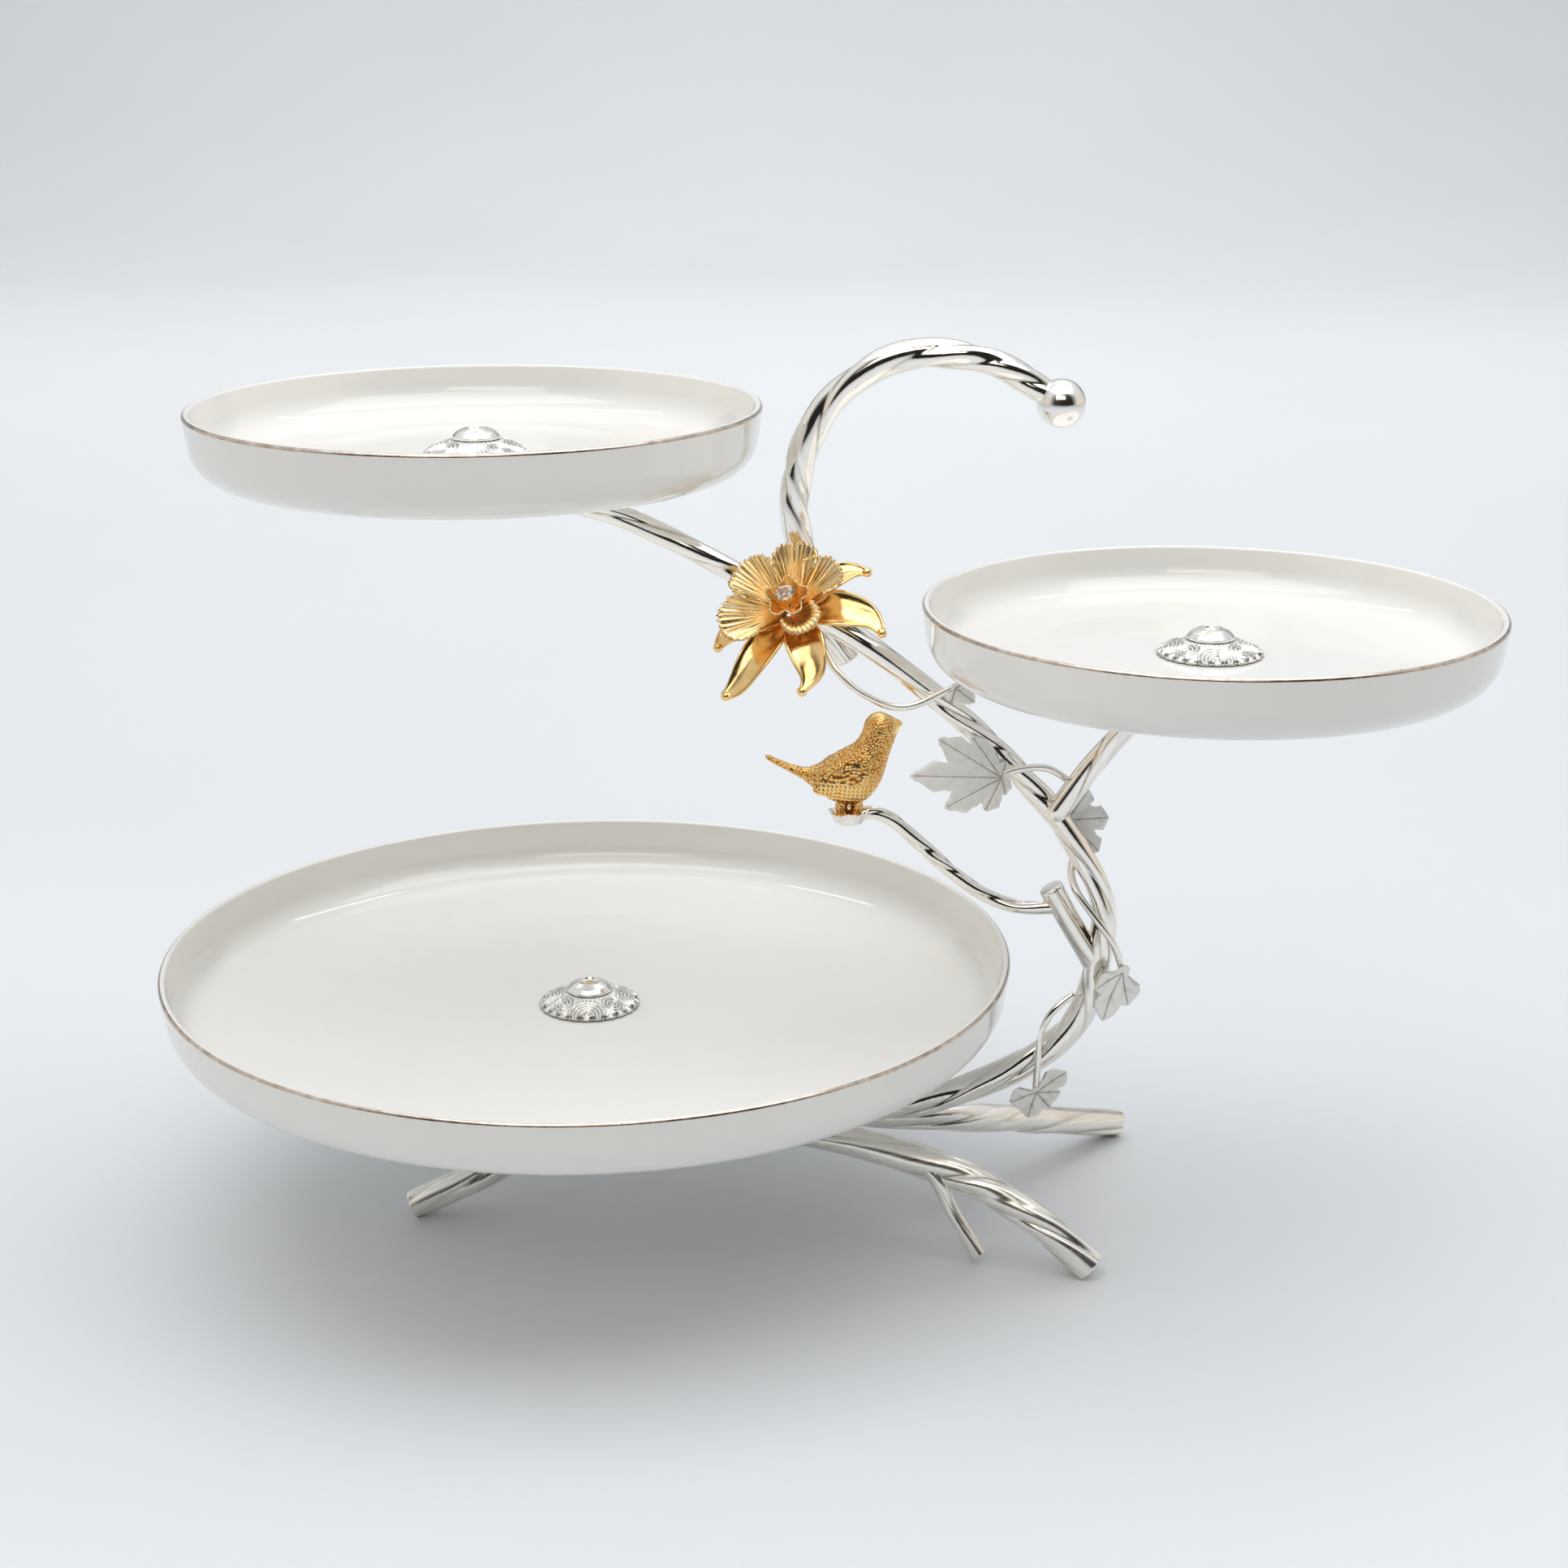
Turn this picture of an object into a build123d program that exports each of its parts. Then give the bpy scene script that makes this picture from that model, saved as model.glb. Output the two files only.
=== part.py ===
from build123d import *

import os
from math import cos, radians, sin, tan

# Tiered cake stand: three porcelain plates on a branch-shaped metal frame.
# Millimetres. +Z is up and z = 0 is the table. The origin is on the table, under the middle
# of the stand. +X runs along its width and -Y is the side that the flower and bird face.

# ---- plates ----
BIG_RADIUS = 155.0
SMALL_RADIUS = 100.0
BOTTOM_RIM = 104.1           # height of each plate's rim above the table
LEFT_RIM = 304.2
RIGHT_RIM = 239.1
LEFT_OFFSET = (-35.2, 3.4)   # from the bottom plate's axis
RIGHT_OFFSET = (219.5, -23.1)
PLATE_HEIGHT = 28.0          # rim to the bottom of the foot ring
BIG_DEPTH = 22.0             # rim to the dish floor
SMALL_DEPTH = 17.5
FOOT_RING = 2.5
FOOT_RATIO = 0.63            # foot ring radius over rim radius
HOLE_RADIUS = 4.5
LIP_THICKNESS = 2.6
UNDERSIDE_RISE = 3.0         # from the foot ring out to the wall
FLOOR_RISE = 2.3             # of the dish floor, over the same stretch
WALL_LEAN = 3.0              # how much wider the plate is at its rim than at its base
WIDTH = BIG_RADIUS + RIGHT_OFFSET[0] + SMALL_RADIUS
BOTTOM_X = BIG_RADIUS - WIDTH / 2

# ---- plate fixings ----
STUD_RADIUS = 3.0            # M6
STUD_SEATED = 2.3            # length of the stud that is held in the seat
STUD_TOP = 8.2               # above the dish floor
SEAT_RADIUS = 13.0
SEAT_THICKNESS = 2.5
BOSS_RADIUS = 6.0
RUBBER_THICKNESS = 1.5
CLEAR_THICKNESS = 0.8
TURNING_GAP = 0.1            # between a plate and what it turns on
ROSETTE_RADIUS = 18.5
ROSETTE_SKIN = 1.0
NUT_BASE = 5.7               # above the dish floor
NUT_HEIGHT = 3.5
NUT_BASE_RADIUS = 8.4
NUT_TOP_RADIUS = 4.4
SHANK_RADIUS = 4.0
SHANK_END = 1.2
THREAD_GAP = 0.05

# ---- rods of the frame ----
THICK = 5.4                  # radii
LEG = 5.2
MIDDLE = 4.6
THIN = 4.1
HANDLE = 5.4
TWIG = 3.0
BIRD_ROD = 2.6
VINE = 1.3
BALL_RADIUS = 8.6

# ---- ornaments ----
BIRD_SEAT_RADIUS = 6.6
BIRD_SEAT_HEIGHT = 3.4
LEAF_THICKNESS = 1.0
PETAL_THICKNESS = 1.2

os.makedirs("parts", exist_ok=True)


def finish(builder, name):
    builder.part.label = name
    export_step(builder.part, f"parts/{name}.step")


def tangent_radii(points):
    """The largest arcs that two neighbouring arcs can share a straight run with."""
    route = [Vector(*point) for point in points]
    radii = []
    for before, corner, after in zip(route, route[1:], route[2:]):
        turn = radians((corner - before).get_angle(after - corner))
        shorter = min((corner - before).length, (after - corner).length)
        radii.append(0.45 * shorter / tan(turn / 2))
    return radii


def bent_rod(points, radius):
    """A round rod along straight runs joined by tangent arcs, with square-cut ends."""
    with BuildPart() as rod:
        with BuildLine() as route:
            if len(points) > 2:
                FilletPolyline(*points, radius=tangent_radii(points))
            else:
                Line(*points)
        with BuildSketch(Plane(origin=route.line @ 0, z_dir=route.line % 0)):
            Circle(radius)
        sweep()
    return rod


def make_rod(name, points, radius):
    rod = bent_rod(points, radius)
    finish(rod, name)
    return rod


def make_foot_rod(name, points, radius):
    """A leg whose tip is ground flat where it stands on the table."""
    leg = bent_rod(points, radius)
    with BuildPart() as ground_leg:
        add(leg.part)
        split(bisect_by=Plane.XY, keep=Keep.TOP)
    finish(ground_leg, name)
    return ground_leg


# ---- plates and their fixings ----
def make_plate(name, centre, rim, radius, depth):
    floor = PLATE_HEIGHT - depth
    foot = radius * FOOT_RATIO
    base = radius - WALL_LEAN
    section_plane = Plane(origin=(*centre, rim - PLATE_HEIGHT), x_dir=(1, 0, 0), z_dir=(0, -1, 0))
    with BuildPart() as plate:
        with BuildSketch(section_plane) as section:
            with BuildLine():
                Polyline(
                    (HOLE_RADIUS, FOOT_RING),
                    (foot - 3, FOOT_RING),
                    (foot - 2, 0),
                    (foot + 1, 0),
                    (foot + 3, FOOT_RING),
                    (base, FOOT_RING + UNDERSIDE_RISE),
                    (radius, PLATE_HEIGHT),
                    (radius - LIP_THICKNESS, PLATE_HEIGHT),
                    (base - LIP_THICKNESS, floor + FLOOR_RISE),
                    (foot, floor),
                    (HOLE_RADIUS, floor),
                    close=True,
                )
            make_face()
            wall_foot = (base, FOOT_RING + UNDERSIDE_RISE)
            fillet(section.vertices().sort_by_distance(wall_foot)[0], radius=14)
            floor_edge = (base - LIP_THICKNESS, floor + FLOOR_RISE)
            fillet(section.vertices().sort_by_distance(floor_edge)[0], radius=11)
            fillet(section.vertices().group_by(Axis.Y)[-1], radius=LIP_THICKNESS * 0.45)
        revolve(axis=Axis((*centre, 0), (0, 0, 1)))
    finish(plate, name)


def make_ring(name, centre, height, outer, inner, thickness):
    with BuildPart() as ring:
        with BuildSketch(Plane(origin=(*centre, height))):
            Circle(outer)
            Circle(inner, mode=Mode.SUBTRACT)
        extrude(amount=thickness)
    finish(ring, name)


def make_seat(name, centre, top, rod_height, rod):
    """A turned flange on a boss that is coped to sit over its rod."""
    with BuildPart() as seat:
        with BuildSketch(Plane(origin=(*centre, rod_height))):
            Circle(BOSS_RADIUS)
        extrude(amount=top - rod_height - SEAT_THICKNESS / 2)
        with BuildSketch(Plane(origin=(*centre, top - SEAT_THICKNESS))):
            Circle(SEAT_RADIUS)
        extrude(amount=SEAT_THICKNESS)
        with BuildSketch(Plane(origin=(*centre, top - STUD_SEATED))):
            Circle(STUD_RADIUS)
        extrude(amount=STUD_SEATED, mode=Mode.SUBTRACT)
        chamfer(seat.edges().filter_by(GeomType.CIRCLE).group_by(SortBy.RADIUS)[-1], length=0.5)
        add(rod.part, mode=Mode.SUBTRACT)
    finish(seat, name)


def make_stud(name, centre, low, high):
    with BuildPart() as stud:
        with BuildSketch(Plane(origin=(*centre, low))):
            Circle(STUD_RADIUS)
        extrude(amount=high - low)
        chamfer(stud.faces().sort_by(Axis.Z)[-1].edges(), length=0.5)
    finish(stud, name)


def make_rosette(name, centre, floor):
    """A flared bell cap on a hub that reaches down to the clear washer."""
    foot = TURNING_GAP + CLEAR_THICKNESS
    top = NUT_BASE - TURNING_GAP
    hub = SHANK_RADIUS + 2.5
    bore = SHANK_RADIUS + 0.3
    section_plane = Plane(origin=(*centre, floor), x_dir=(1, 0, 0), z_dir=(0, -1, 0))
    with BuildPart() as rosette:
        with BuildSketch(section_plane):
            with BuildLine():
                bell = Spline(
                    (ROSETTE_RADIUS, 1.3), (13.8, 3.9), (NUT_BASE_RADIUS + 0.4, top),
                    tangents=((-1, 0.8), (-1, 0.25)),
                )
                Polyline(bell @ 1, (bore, top), (bore, foot), (hub, foot), (hub, top - ROSETTE_SKIN))
                under = Spline(
                    (hub, top - ROSETTE_SKIN), (13.2, 3.0), (ROSETTE_RADIUS, 0.4),
                    tangents=((1, -0.1), (1, -0.7)),
                )
                Line(under @ 1, bell @ 0)
            make_face()
        revolve(axis=Axis((*centre, 0), (0, 0, 1)))
    finish(rosette, name)


def make_cap_nut(name, centre, floor):
    """A round nut with a threaded shank that reaches down inside the rosette."""
    bore = STUD_RADIUS + THREAD_GAP
    top = NUT_BASE + NUT_HEIGHT
    section_plane = Plane(origin=(*centre, floor), x_dir=(1, 0, 0), z_dir=(0, -1, 0))
    with BuildPart() as nut:
        with BuildSketch(section_plane):
            with BuildLine():
                Polyline(
                    (bore, SHANK_END), (SHANK_RADIUS, SHANK_END), (SHANK_RADIUS, NUT_BASE),
                    (NUT_BASE_RADIUS, NUT_BASE), (NUT_BASE_RADIUS, NUT_BASE + 0.6),
                )
                ThreePointArc((NUT_BASE_RADIUS, NUT_BASE + 0.6), (7.0, NUT_BASE + 2.4), (NUT_TOP_RADIUS, top))
                Polyline((NUT_TOP_RADIUS, top), (bore + 0.5, top), (bore, top - 0.5), (bore, SHANK_END))
            make_face()
        revolve(axis=Axis((*centre, 0), (0, 0, 1)))
    finish(nut, name)


def make_tier(tier, centre, rim, radius, depth, rod_height, rod):
    """A plate with its seat, stud, washers, rosette and cap nut."""
    floor = rim - depth
    seat_top = rim - PLATE_HEIGHT + FOOT_RING - TURNING_GAP - RUBBER_THICKNESS
    make_plate(f"{tier}_plate", centre, rim, radius, depth)
    make_seat(f"{tier}_seat", centre, seat_top, rod_height, rod)
    make_stud(f"{tier}_stud", centre, seat_top - STUD_SEATED, floor + STUD_TOP)
    make_ring(f"{tier}_rubber_washer", centre, seat_top, SEAT_RADIUS - 1, STUD_RADIUS + 0.2, RUBBER_THICKNESS)
    make_ring(f"{tier}_clear_washer", centre, floor + TURNING_GAP, 10.0, SHANK_RADIUS + 0.3, CLEAR_THICKNESS)
    make_rosette(f"{tier}_rosette", centre, floor)
    make_cap_nut(f"{tier}_cap_nut", centre, floor)


bottom_centre = (BOTTOM_X, 0.0)
left_centre = (BOTTOM_X + LEFT_OFFSET[0], LEFT_OFFSET[1])
right_centre = (BOTTOM_X + RIGHT_OFFSET[0], RIGHT_OFFSET[1])
left_rod_height = 270.5
right_rod_height = 205.5
bottom_rod_height = 47.0

# The trunk: a brazed run of three rods, from under the bottom plate round its side and up to
# the left plate.
trunk_lower = make_rod("trunk_lower", [
    (BOTTOM_X - 6, 0, bottom_rod_height), (BOTTOM_X + 22, 0, bottom_rod_height), (-22, -3, 44),
    (14, -3, 41), (45, 0, 42.5), (74, 0, 55), (92, 0, 66), (102, 0, 81), (105, 0, 98),
], THICK)
trunk_middle = make_rod("trunk_middle", [
    (105, 0, 98), (108, 0, 114), (105, 0, 128), (98, 0, 141), (88, 0, 156.5),
], MIDDLE)
trunk_upper = make_rod("trunk_upper", [
    (88, 0, 156.5), (68, 0, 178.5), (52, 0, 193.3), (32, 0, 210), (9, 0, 226.3), (-10, 0, 235.5),
    (-41, 0, 253), (-69, 1, 266.5), (-90, 2.6, left_rod_height), (left_centre[0] - 6, 3.4, left_rod_height),
], THIN)
right_branch = make_rod("right_branch", [
    (86, -4, 155), (98, -5.5, 173), (109, -8, 189), (121.5, -15, 200),
    (*right_centre, right_rod_height), (144, -27.8, 205.5),
], THIN)
make_rod("cut_twig", [(105.5, 0, 96), (95, -1, 114), (87, -2, 128.5)], MIDDLE)
bird_branch = make_rod("bird_branch", [
    (88, -2, 121), (75, 0, 119.5), (59, 2, 126), (44, 2, 139.5), (29, 2, 153.5), (21, 1, 157.5),
    (14.5, 0, 154.5),
], BIRD_ROD)

# The legs.
make_foot_rod("left_leg", [(BOTTOM_X + 4, -2, 43), (-101, -7, 31), (-124, -9, 15.5), (-150, -7.5, 4.2)], LEG)
make_foot_rod("front_leg", [
    (-58, -8, 45), (-20, -21, 45), (15, -33, 42), (36, -38, 37.5), (58, -44.5, 32.5), (79, -51.5, 21),
    (100, -57, 3.4),
], LEG)
make_foot_rod("back_leg", [(4, 4, 38), (30, 7, 34.5), (54, 12, 31), (84, 30, 22), (123.5, 65, 4.4)], LEG)
make_rod("leg_twig", [(37, -39, 38.5), (45, -44, 33.5), (49.5, -45.5, 21), (60, -49, 4.2)], TWIG)

# The carrying handle and its ball.
ball_centre = (85.5, 0, 305)
handle = make_rod("handle", [
    (12.5, 7.5, 211.5), (0, 7.5, 237), (-5.8, 5, 257), (-7, 4, 275), (-1.8, 3, 294), (8, 2, 308.5),
    (25, 1, 320.5), (44.9, 0, 323.1), (64.5, 0, 318.8), (82.5, 0, 306.8),
], HANDLE)
with BuildPart() as handle_ball:
    with Locations(ball_centre):
        Sphere(BALL_RADIUS)
    add(handle.part, mode=Mode.SUBTRACT)
finish(handle_ball, "handle_ball")

# Vine tendrils.
make_rod("flower_vine", [
    (2.5, 5.5, 223), (5, -3, 213.5), (15.5, -6.5, 203.5), (27, -7, 198), (33.5, -7, 197.5),
    (40, -7, 200), (51, -7.5, 206),
], VINE)
make_rod("maple_vine", [(67, -7.5, 173), (74, -8, 175.5), (84, -6.5, 176), (93, -2, 168.5)], VINE)
make_rod("loop_vine", [
    (97, 5, 141), (94, 2, 134), (95.5, -4, 128), (104, -7, 117), (111, -6.5, 107.5), (114, -4, 97),
], VINE)
make_rod("hanging_vine", [(97, -3, 87.5), (88, -5.5, 81), (84.5, -6, 73), (84, -6, 61), (83.5, -6, 50)], VINE)

make_tier("bottom", bottom_centre, BOTTOM_RIM, BIG_RADIUS, BIG_DEPTH, bottom_rod_height, trunk_lower)
make_tier("left", left_centre, LEFT_RIM, SMALL_RADIUS, SMALL_DEPTH, left_rod_height, trunk_upper)
make_tier("right", right_centre, RIGHT_RIM, SMALL_RADIUS, SMALL_DEPTH, right_rod_height, right_branch)


# ---- leaves ----
def make_leaf(name, base, axis, normal, lobes):
    """A flat leaf of pointed lobes that fan out from its base: (angle, length, width) each."""
    with BuildPart() as leaf:
        with BuildSketch(Plane(origin=base, x_dir=axis, z_dir=normal)):
            Circle(lobes[0][2] * 0.35)
            for angle, length, width in lobes:
                direction = Vector(cos(radians(angle)), sin(radians(angle)))
                side = Vector(-direction.Y, direction.X)
                with BuildLine():
                    for turn in (1, -1):
                        middle = direction * length * 0.5 + side * (turn * width / 2)
                        ThreePointArc((0, 0), middle, direction * length)
                make_face()
        extrude(amount=LEAF_THICKNESS / 2, both=True)
    finish(leaf, name)


make_leaf("maple_leaf", (67.5, -9.2, 172.5), (-1, -0.1, 0.05), (0.1, -1, 0.1), [
    (0, 33.5, 14), (-31, 27, 12), (-68, 14, 8), (31, 23, 11), (73, 12, 7),
])
make_leaf("trunk_leaf", (93, 4.6, 152), (1, 0, 0.1), (0, -1, 0), [
    (0, 15, 9), (55, 14, 8), (-52, 16, 8),
])
make_leaf("folded_leaf", (114, -5.2, 96.5), (-0.55, 0, -1), (0.55, -1, -0.3), [
    (0, 19, 8), (50, 11, 6), (-50, 9, 5),
])
make_leaf("hanging_leaf", (83.5, -7.2, 49.5), (-0.35, 0, -1), (0.1, -1, -0.03), [
    (0, 10, 6), (-55, 10.5, 6), (110, 9, 5), (150, 14, 5), (60, 7, 5),
])
make_leaf("curled_leaf", (50.5, -8.6, 205.5), (1, -0.2, -0.75), (0, -1, 0.25), [
    (0, 8, 6), (70, 5.5, 4), (-70, 5, 4),
])

# ---- bird ----
bird_seat_low = 152.6
bird_foot = bird_seat_low + BIRD_SEAT_HEIGHT
with BuildPart() as bird_seat:
    with BuildSketch(Plane(origin=(13.3, 0, bird_seat_low))):
        Circle(BIRD_SEAT_RADIUS)
    extrude(amount=BIRD_SEAT_HEIGHT)
    fillet(bird_seat.faces().sort_by(Axis.Z)[0].edges(), radius=1.2)
finish(bird_seat, "bird_seat")

body_plane = Plane(origin=(14.5, 0, 174), x_dir=(0.72, 0, 0.5), z_dir=(0, -1, 0))
tail_start = Plane(origin=(3, 0, 172), z_dir=(-1, 0, 0.3))
tail_end = Plane(origin=(-16.5, 0, 178), z_dir=(-1, 0, 0.3))
with BuildPart() as bird:
    with BuildSketch(body_plane):
        with BuildLine():
            Spline((-17, 0), (-8, 8.2), (3, 10.6), (12, 7), (15.5, 0), tangents=((0.6, 1), (0, -1)))
            Line((15.5, 0), (-17, 0))
        make_face()
    revolve(axis=Axis((14.5, 0, 174), (0.72, 0, 0.5)))
    with Locations((22.5, 0, 187.5)):
        Sphere(7.2)
    with BuildSketch(tail_start):
        Ellipse(4.5, 4.5)
    with BuildSketch(tail_end):
        Ellipse(2.6, 1.6)
    loft()
    with Locations(Plane(origin=(27.5, 0, 189), z_dir=(1, 0, 0.2))):
        Cone(bottom_radius=3.2, top_radius=0.4, height=5.6, align=(Align.CENTER, Align.CENTER, Align.MIN))
    with BuildSketch(Plane(origin=(13.3, 0, bird_foot))):
        Ellipse(4.6, 3.8)
    extrude(amount=14)
    add(bird_branch.part, mode=Mode.SUBTRACT)
finish(bird, "bird")

# ---- flower ----
flower_plane = Plane(origin=(-7.2, -16, 235.4), x_dir=(1, 0, 0.336), z_dir=(-0.224, -0.711, 0.667))
SEPALS = [(12, 34), (-27, 36), (-97, 34), (-141, 44), (-178, 33), (112, 19)]  # angle, length
PETALS = [(22, 21), (67, 22), (128, 23), (184, 26), (-74, 12)]
CUP_HEIGHT = 11.0


def make_petals(name, height, petals, width, widest):
    """Flat pointed petals round the flower's axis; widest is a fraction of their length."""
    with BuildPart() as whorl:
        with BuildSketch(flower_plane.offset(height)):
            Circle(5.5)
            for angle, length in petals:
                direction = Vector(cos(radians(angle)), sin(radians(angle)))
                side = Vector(-direction.Y, direction.X) * (width / 2)
                with BuildLine():
                    for turn in (1, -1):
                        Spline((0, 0), direction * length * widest + side * turn, direction * length)
                make_face()
        extrude(amount=PETAL_THICKNESS)
    finish(whorl, name)


make_rod("flower_stem", [tuple(flower_plane.origin), (-7.2, -2, 234.4)], 1.6)
make_petals("flower_sepals", 0, SEPALS, 15, 0.5)
make_petals("flower_petals", PETAL_THICKNESS, PETALS, 18, 0.62)

cup_base = flower_plane.offset(2 * PETAL_THICKNESS)
with BuildPart() as flower_cup:
    with BuildSketch(cup_base):
        Circle(3.0)
    with BuildSketch(cup_base.offset(CUP_HEIGHT)):
        Circle(8.0)
    loft()
    with BuildSketch(cup_base.offset(CUP_HEIGHT)):
        Circle(3.2)
    extrude(amount=-2, mode=Mode.SUBTRACT)
finish(flower_cup, "flower_cup")
with BuildPart() as crystal:
    with BuildSketch(cup_base.offset(CUP_HEIGHT - 2)):
        Circle(3.2)
    extrude(amount=1)
    with BuildSketch(cup_base.offset(CUP_HEIGHT - 1)):
        Circle(3.2)
    with BuildSketch(cup_base.offset(CUP_HEIGHT + 1.2)):
        Circle(1.9)
    loft()
finish(crystal, "crystal")
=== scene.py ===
import math

import bmesh
import bpy
import numpy as np
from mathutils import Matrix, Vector
from mathutils.kdtree import KDTree


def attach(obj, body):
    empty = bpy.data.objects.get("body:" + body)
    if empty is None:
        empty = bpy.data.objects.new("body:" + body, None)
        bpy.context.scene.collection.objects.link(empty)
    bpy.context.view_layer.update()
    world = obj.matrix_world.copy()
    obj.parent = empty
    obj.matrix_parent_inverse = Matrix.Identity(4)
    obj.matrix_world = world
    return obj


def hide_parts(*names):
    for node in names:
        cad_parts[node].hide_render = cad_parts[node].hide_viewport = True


# Looks of the tiered cake stand. Lengths in the tables below are in millimetres in the row
# frame, as in the part's source, and MM turns them into metres where a mesh is made.
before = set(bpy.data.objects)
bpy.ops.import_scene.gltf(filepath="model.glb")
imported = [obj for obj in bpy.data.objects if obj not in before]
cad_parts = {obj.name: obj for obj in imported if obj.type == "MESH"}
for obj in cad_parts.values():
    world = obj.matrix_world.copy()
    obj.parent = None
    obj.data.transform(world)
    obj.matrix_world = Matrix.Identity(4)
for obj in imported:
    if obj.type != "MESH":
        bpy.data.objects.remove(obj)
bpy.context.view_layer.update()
MM = 0.001

# ---- sizes repeated from the part ----
TIERS = {                    # centre x, centre y, rim height, rim radius, rim to dish floor
    "bottom": (-82.25, 0.0, 104.1, 155.0, 22.0),
    "left": (-117.45, 3.4, 304.2, 100.0, 17.5),
    "right": (137.25, -23.1, 239.1, 100.0, 17.5),
}
PLATE_HEIGHT = 28.0
FOOT_RING = 2.5
FOOT_RATIO = 0.63
HOLE_RADIUS = 4.5
LIP_THICKNESS = 2.6
WALL_LEAN = 3.0
UNDERSIDE_RISE = 3.0
FLOOR_RISE = 2.3
ROSETTE_RADIUS = 18.5
NUT_BASE = 5.7
NUT_TOP = 9.2
SHANK_RADIUS = 4.0
SHANK_END = 1.2
BORE = 3.05

TRUNK = [
    (-88.25, 0, 47), (-60.25, 0, 47), (-22, -3, 44), (14, -3, 41), (45, 0, 42.5), (74, 0, 55),
    (92, 0, 66), (102, 0, 81), (105, 0, 98), (108, 0, 114), (105, 0, 128), (98, 0, 141),
    (88, 0, 156.5), (68, 0, 178.5), (52, 0, 193.3), (32, 0, 210), (9, 0, 226.3), (-10, 0, 235.5),
    (-41, 0, 253), (-69, 1, 266.5), (-90, 2.6, 270.5), (-123.45, 3.4, 270.5),
]
TRUNK_RADII = [5.4, 5.5, 5.6, 5.6, 5.6, 5.6, 5.5, 5.4, 5.3, 5.0, 4.8, 4.7, 4.6, 4.5, 4.45, 4.4, 4.3,
               4.2, 4.1, 4.0, 3.9, 3.8]
RIGHT_BRANCH = [
    (86, -4, 155), (98, -5.5, 173), (109, -8, 189), (121.5, -15, 200), (137.25, -23.1, 205.5),
    (144, -27.8, 205.5),
]
CUT_TWIG = [(105.5, 0, 96), (95, -1, 114), (87, -2, 128.5)]
BIRD_BRANCH = [
    (88, -2, 121), (75, 0, 119.5), (59, 2, 126), (44, 2, 139.5), (29, 2, 153.5), (21, 1, 157.5),
    (14.5, 0, 154.5),
]
LEFT_LEG = [(-78.25, -2, 43), (-101, -7, 31), (-124, -9, 15.5), (-150, -7.5, 4.2)]
FRONT_LEG = [
    (-58, -8, 45), (-20, -21, 45), (15, -33, 42), (36, -38, 37.5), (58, -44.5, 32.5),
    (79, -51.5, 21), (100, -57, 3.4),
]
BACK_LEG = [(4, 4, 38), (30, 7, 34.5), (54, 12, 31), (84, 30, 22), (123.5, 65, 4.4)]
LEG_TWIG = [(37, -39, 38.5), (45, -44, 33.5), (49.5, -45.5, 21), (60, -49, 4.2)]
HANDLE = [
    (12.5, 7.5, 211.5), (0, 7.5, 237), (-5.8, 5, 257), (-7, 4, 275), (-1.8, 3, 294),
    (8, 2, 308.5), (25, 1, 320.5), (44.9, 0, 323.1), (64.5, 0, 318.8), (82.5, 0, 306.8),
]
HANDLE_RADII = [4.8, 5.1, 5.4, 5.5, 5.5, 5.5, 5.4, 5.35, 5.0, 4.5]
BALL_CENTRE = (85.5, 0, 305)
BALL_RADIUS = 8.6
VINES = {
    "flower_vine": [
        (2.5, 5.5, 223), (5, -3, 213.5), (15.5, -6.5, 203.5), (27, -7, 198), (33.5, -7, 197.5),
        (40, -7, 200), (51, -7.5, 206),
    ],
    "maple_vine": [(67, -7.5, 173), (74, -8, 175.5), (84, -6.5, 176), (93, -2, 168.5)],
    "loop_vine": [
        (97, 5, 141), (94, 2, 134), (95.5, -4, 128), (104, -7, 117), (111, -6.5, 107.5), (114, -4, 97),
    ],
    "hanging_vine": [(97, -3, 87.5), (88, -5.5, 81), (84.5, -6, 73), (84, -6, 61), (83.5, -6, 50)],
}
FLOWER_CENTRE = (-7.2, -16, 235.4)
FLOWER_X = (1, 0, 0.336)
FLOWER_NORMAL = (-0.224, -0.711, 0.667)
SEPALS = [                   # angle, length, which way its tip hooks, and breadth
    (20, 31, -0.8, 0.72), (-27, 35, -1, 1.0), (-91, 33, -1, 0.95), (-141, 41, -0.3, 0.8),
    (-178, 31, 0.6, 0.8), (112, 15, 0.5, 0.8),
]
PETALS = [(18, 21), (66, 22), (128, 23), (186, 25)]
FRONT_PETAL = (-72, 14)
CRYSTAL_HEIGHT = 12.4
BIRD_FOOT = 156.0
BIRD_X = 13.3


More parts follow.
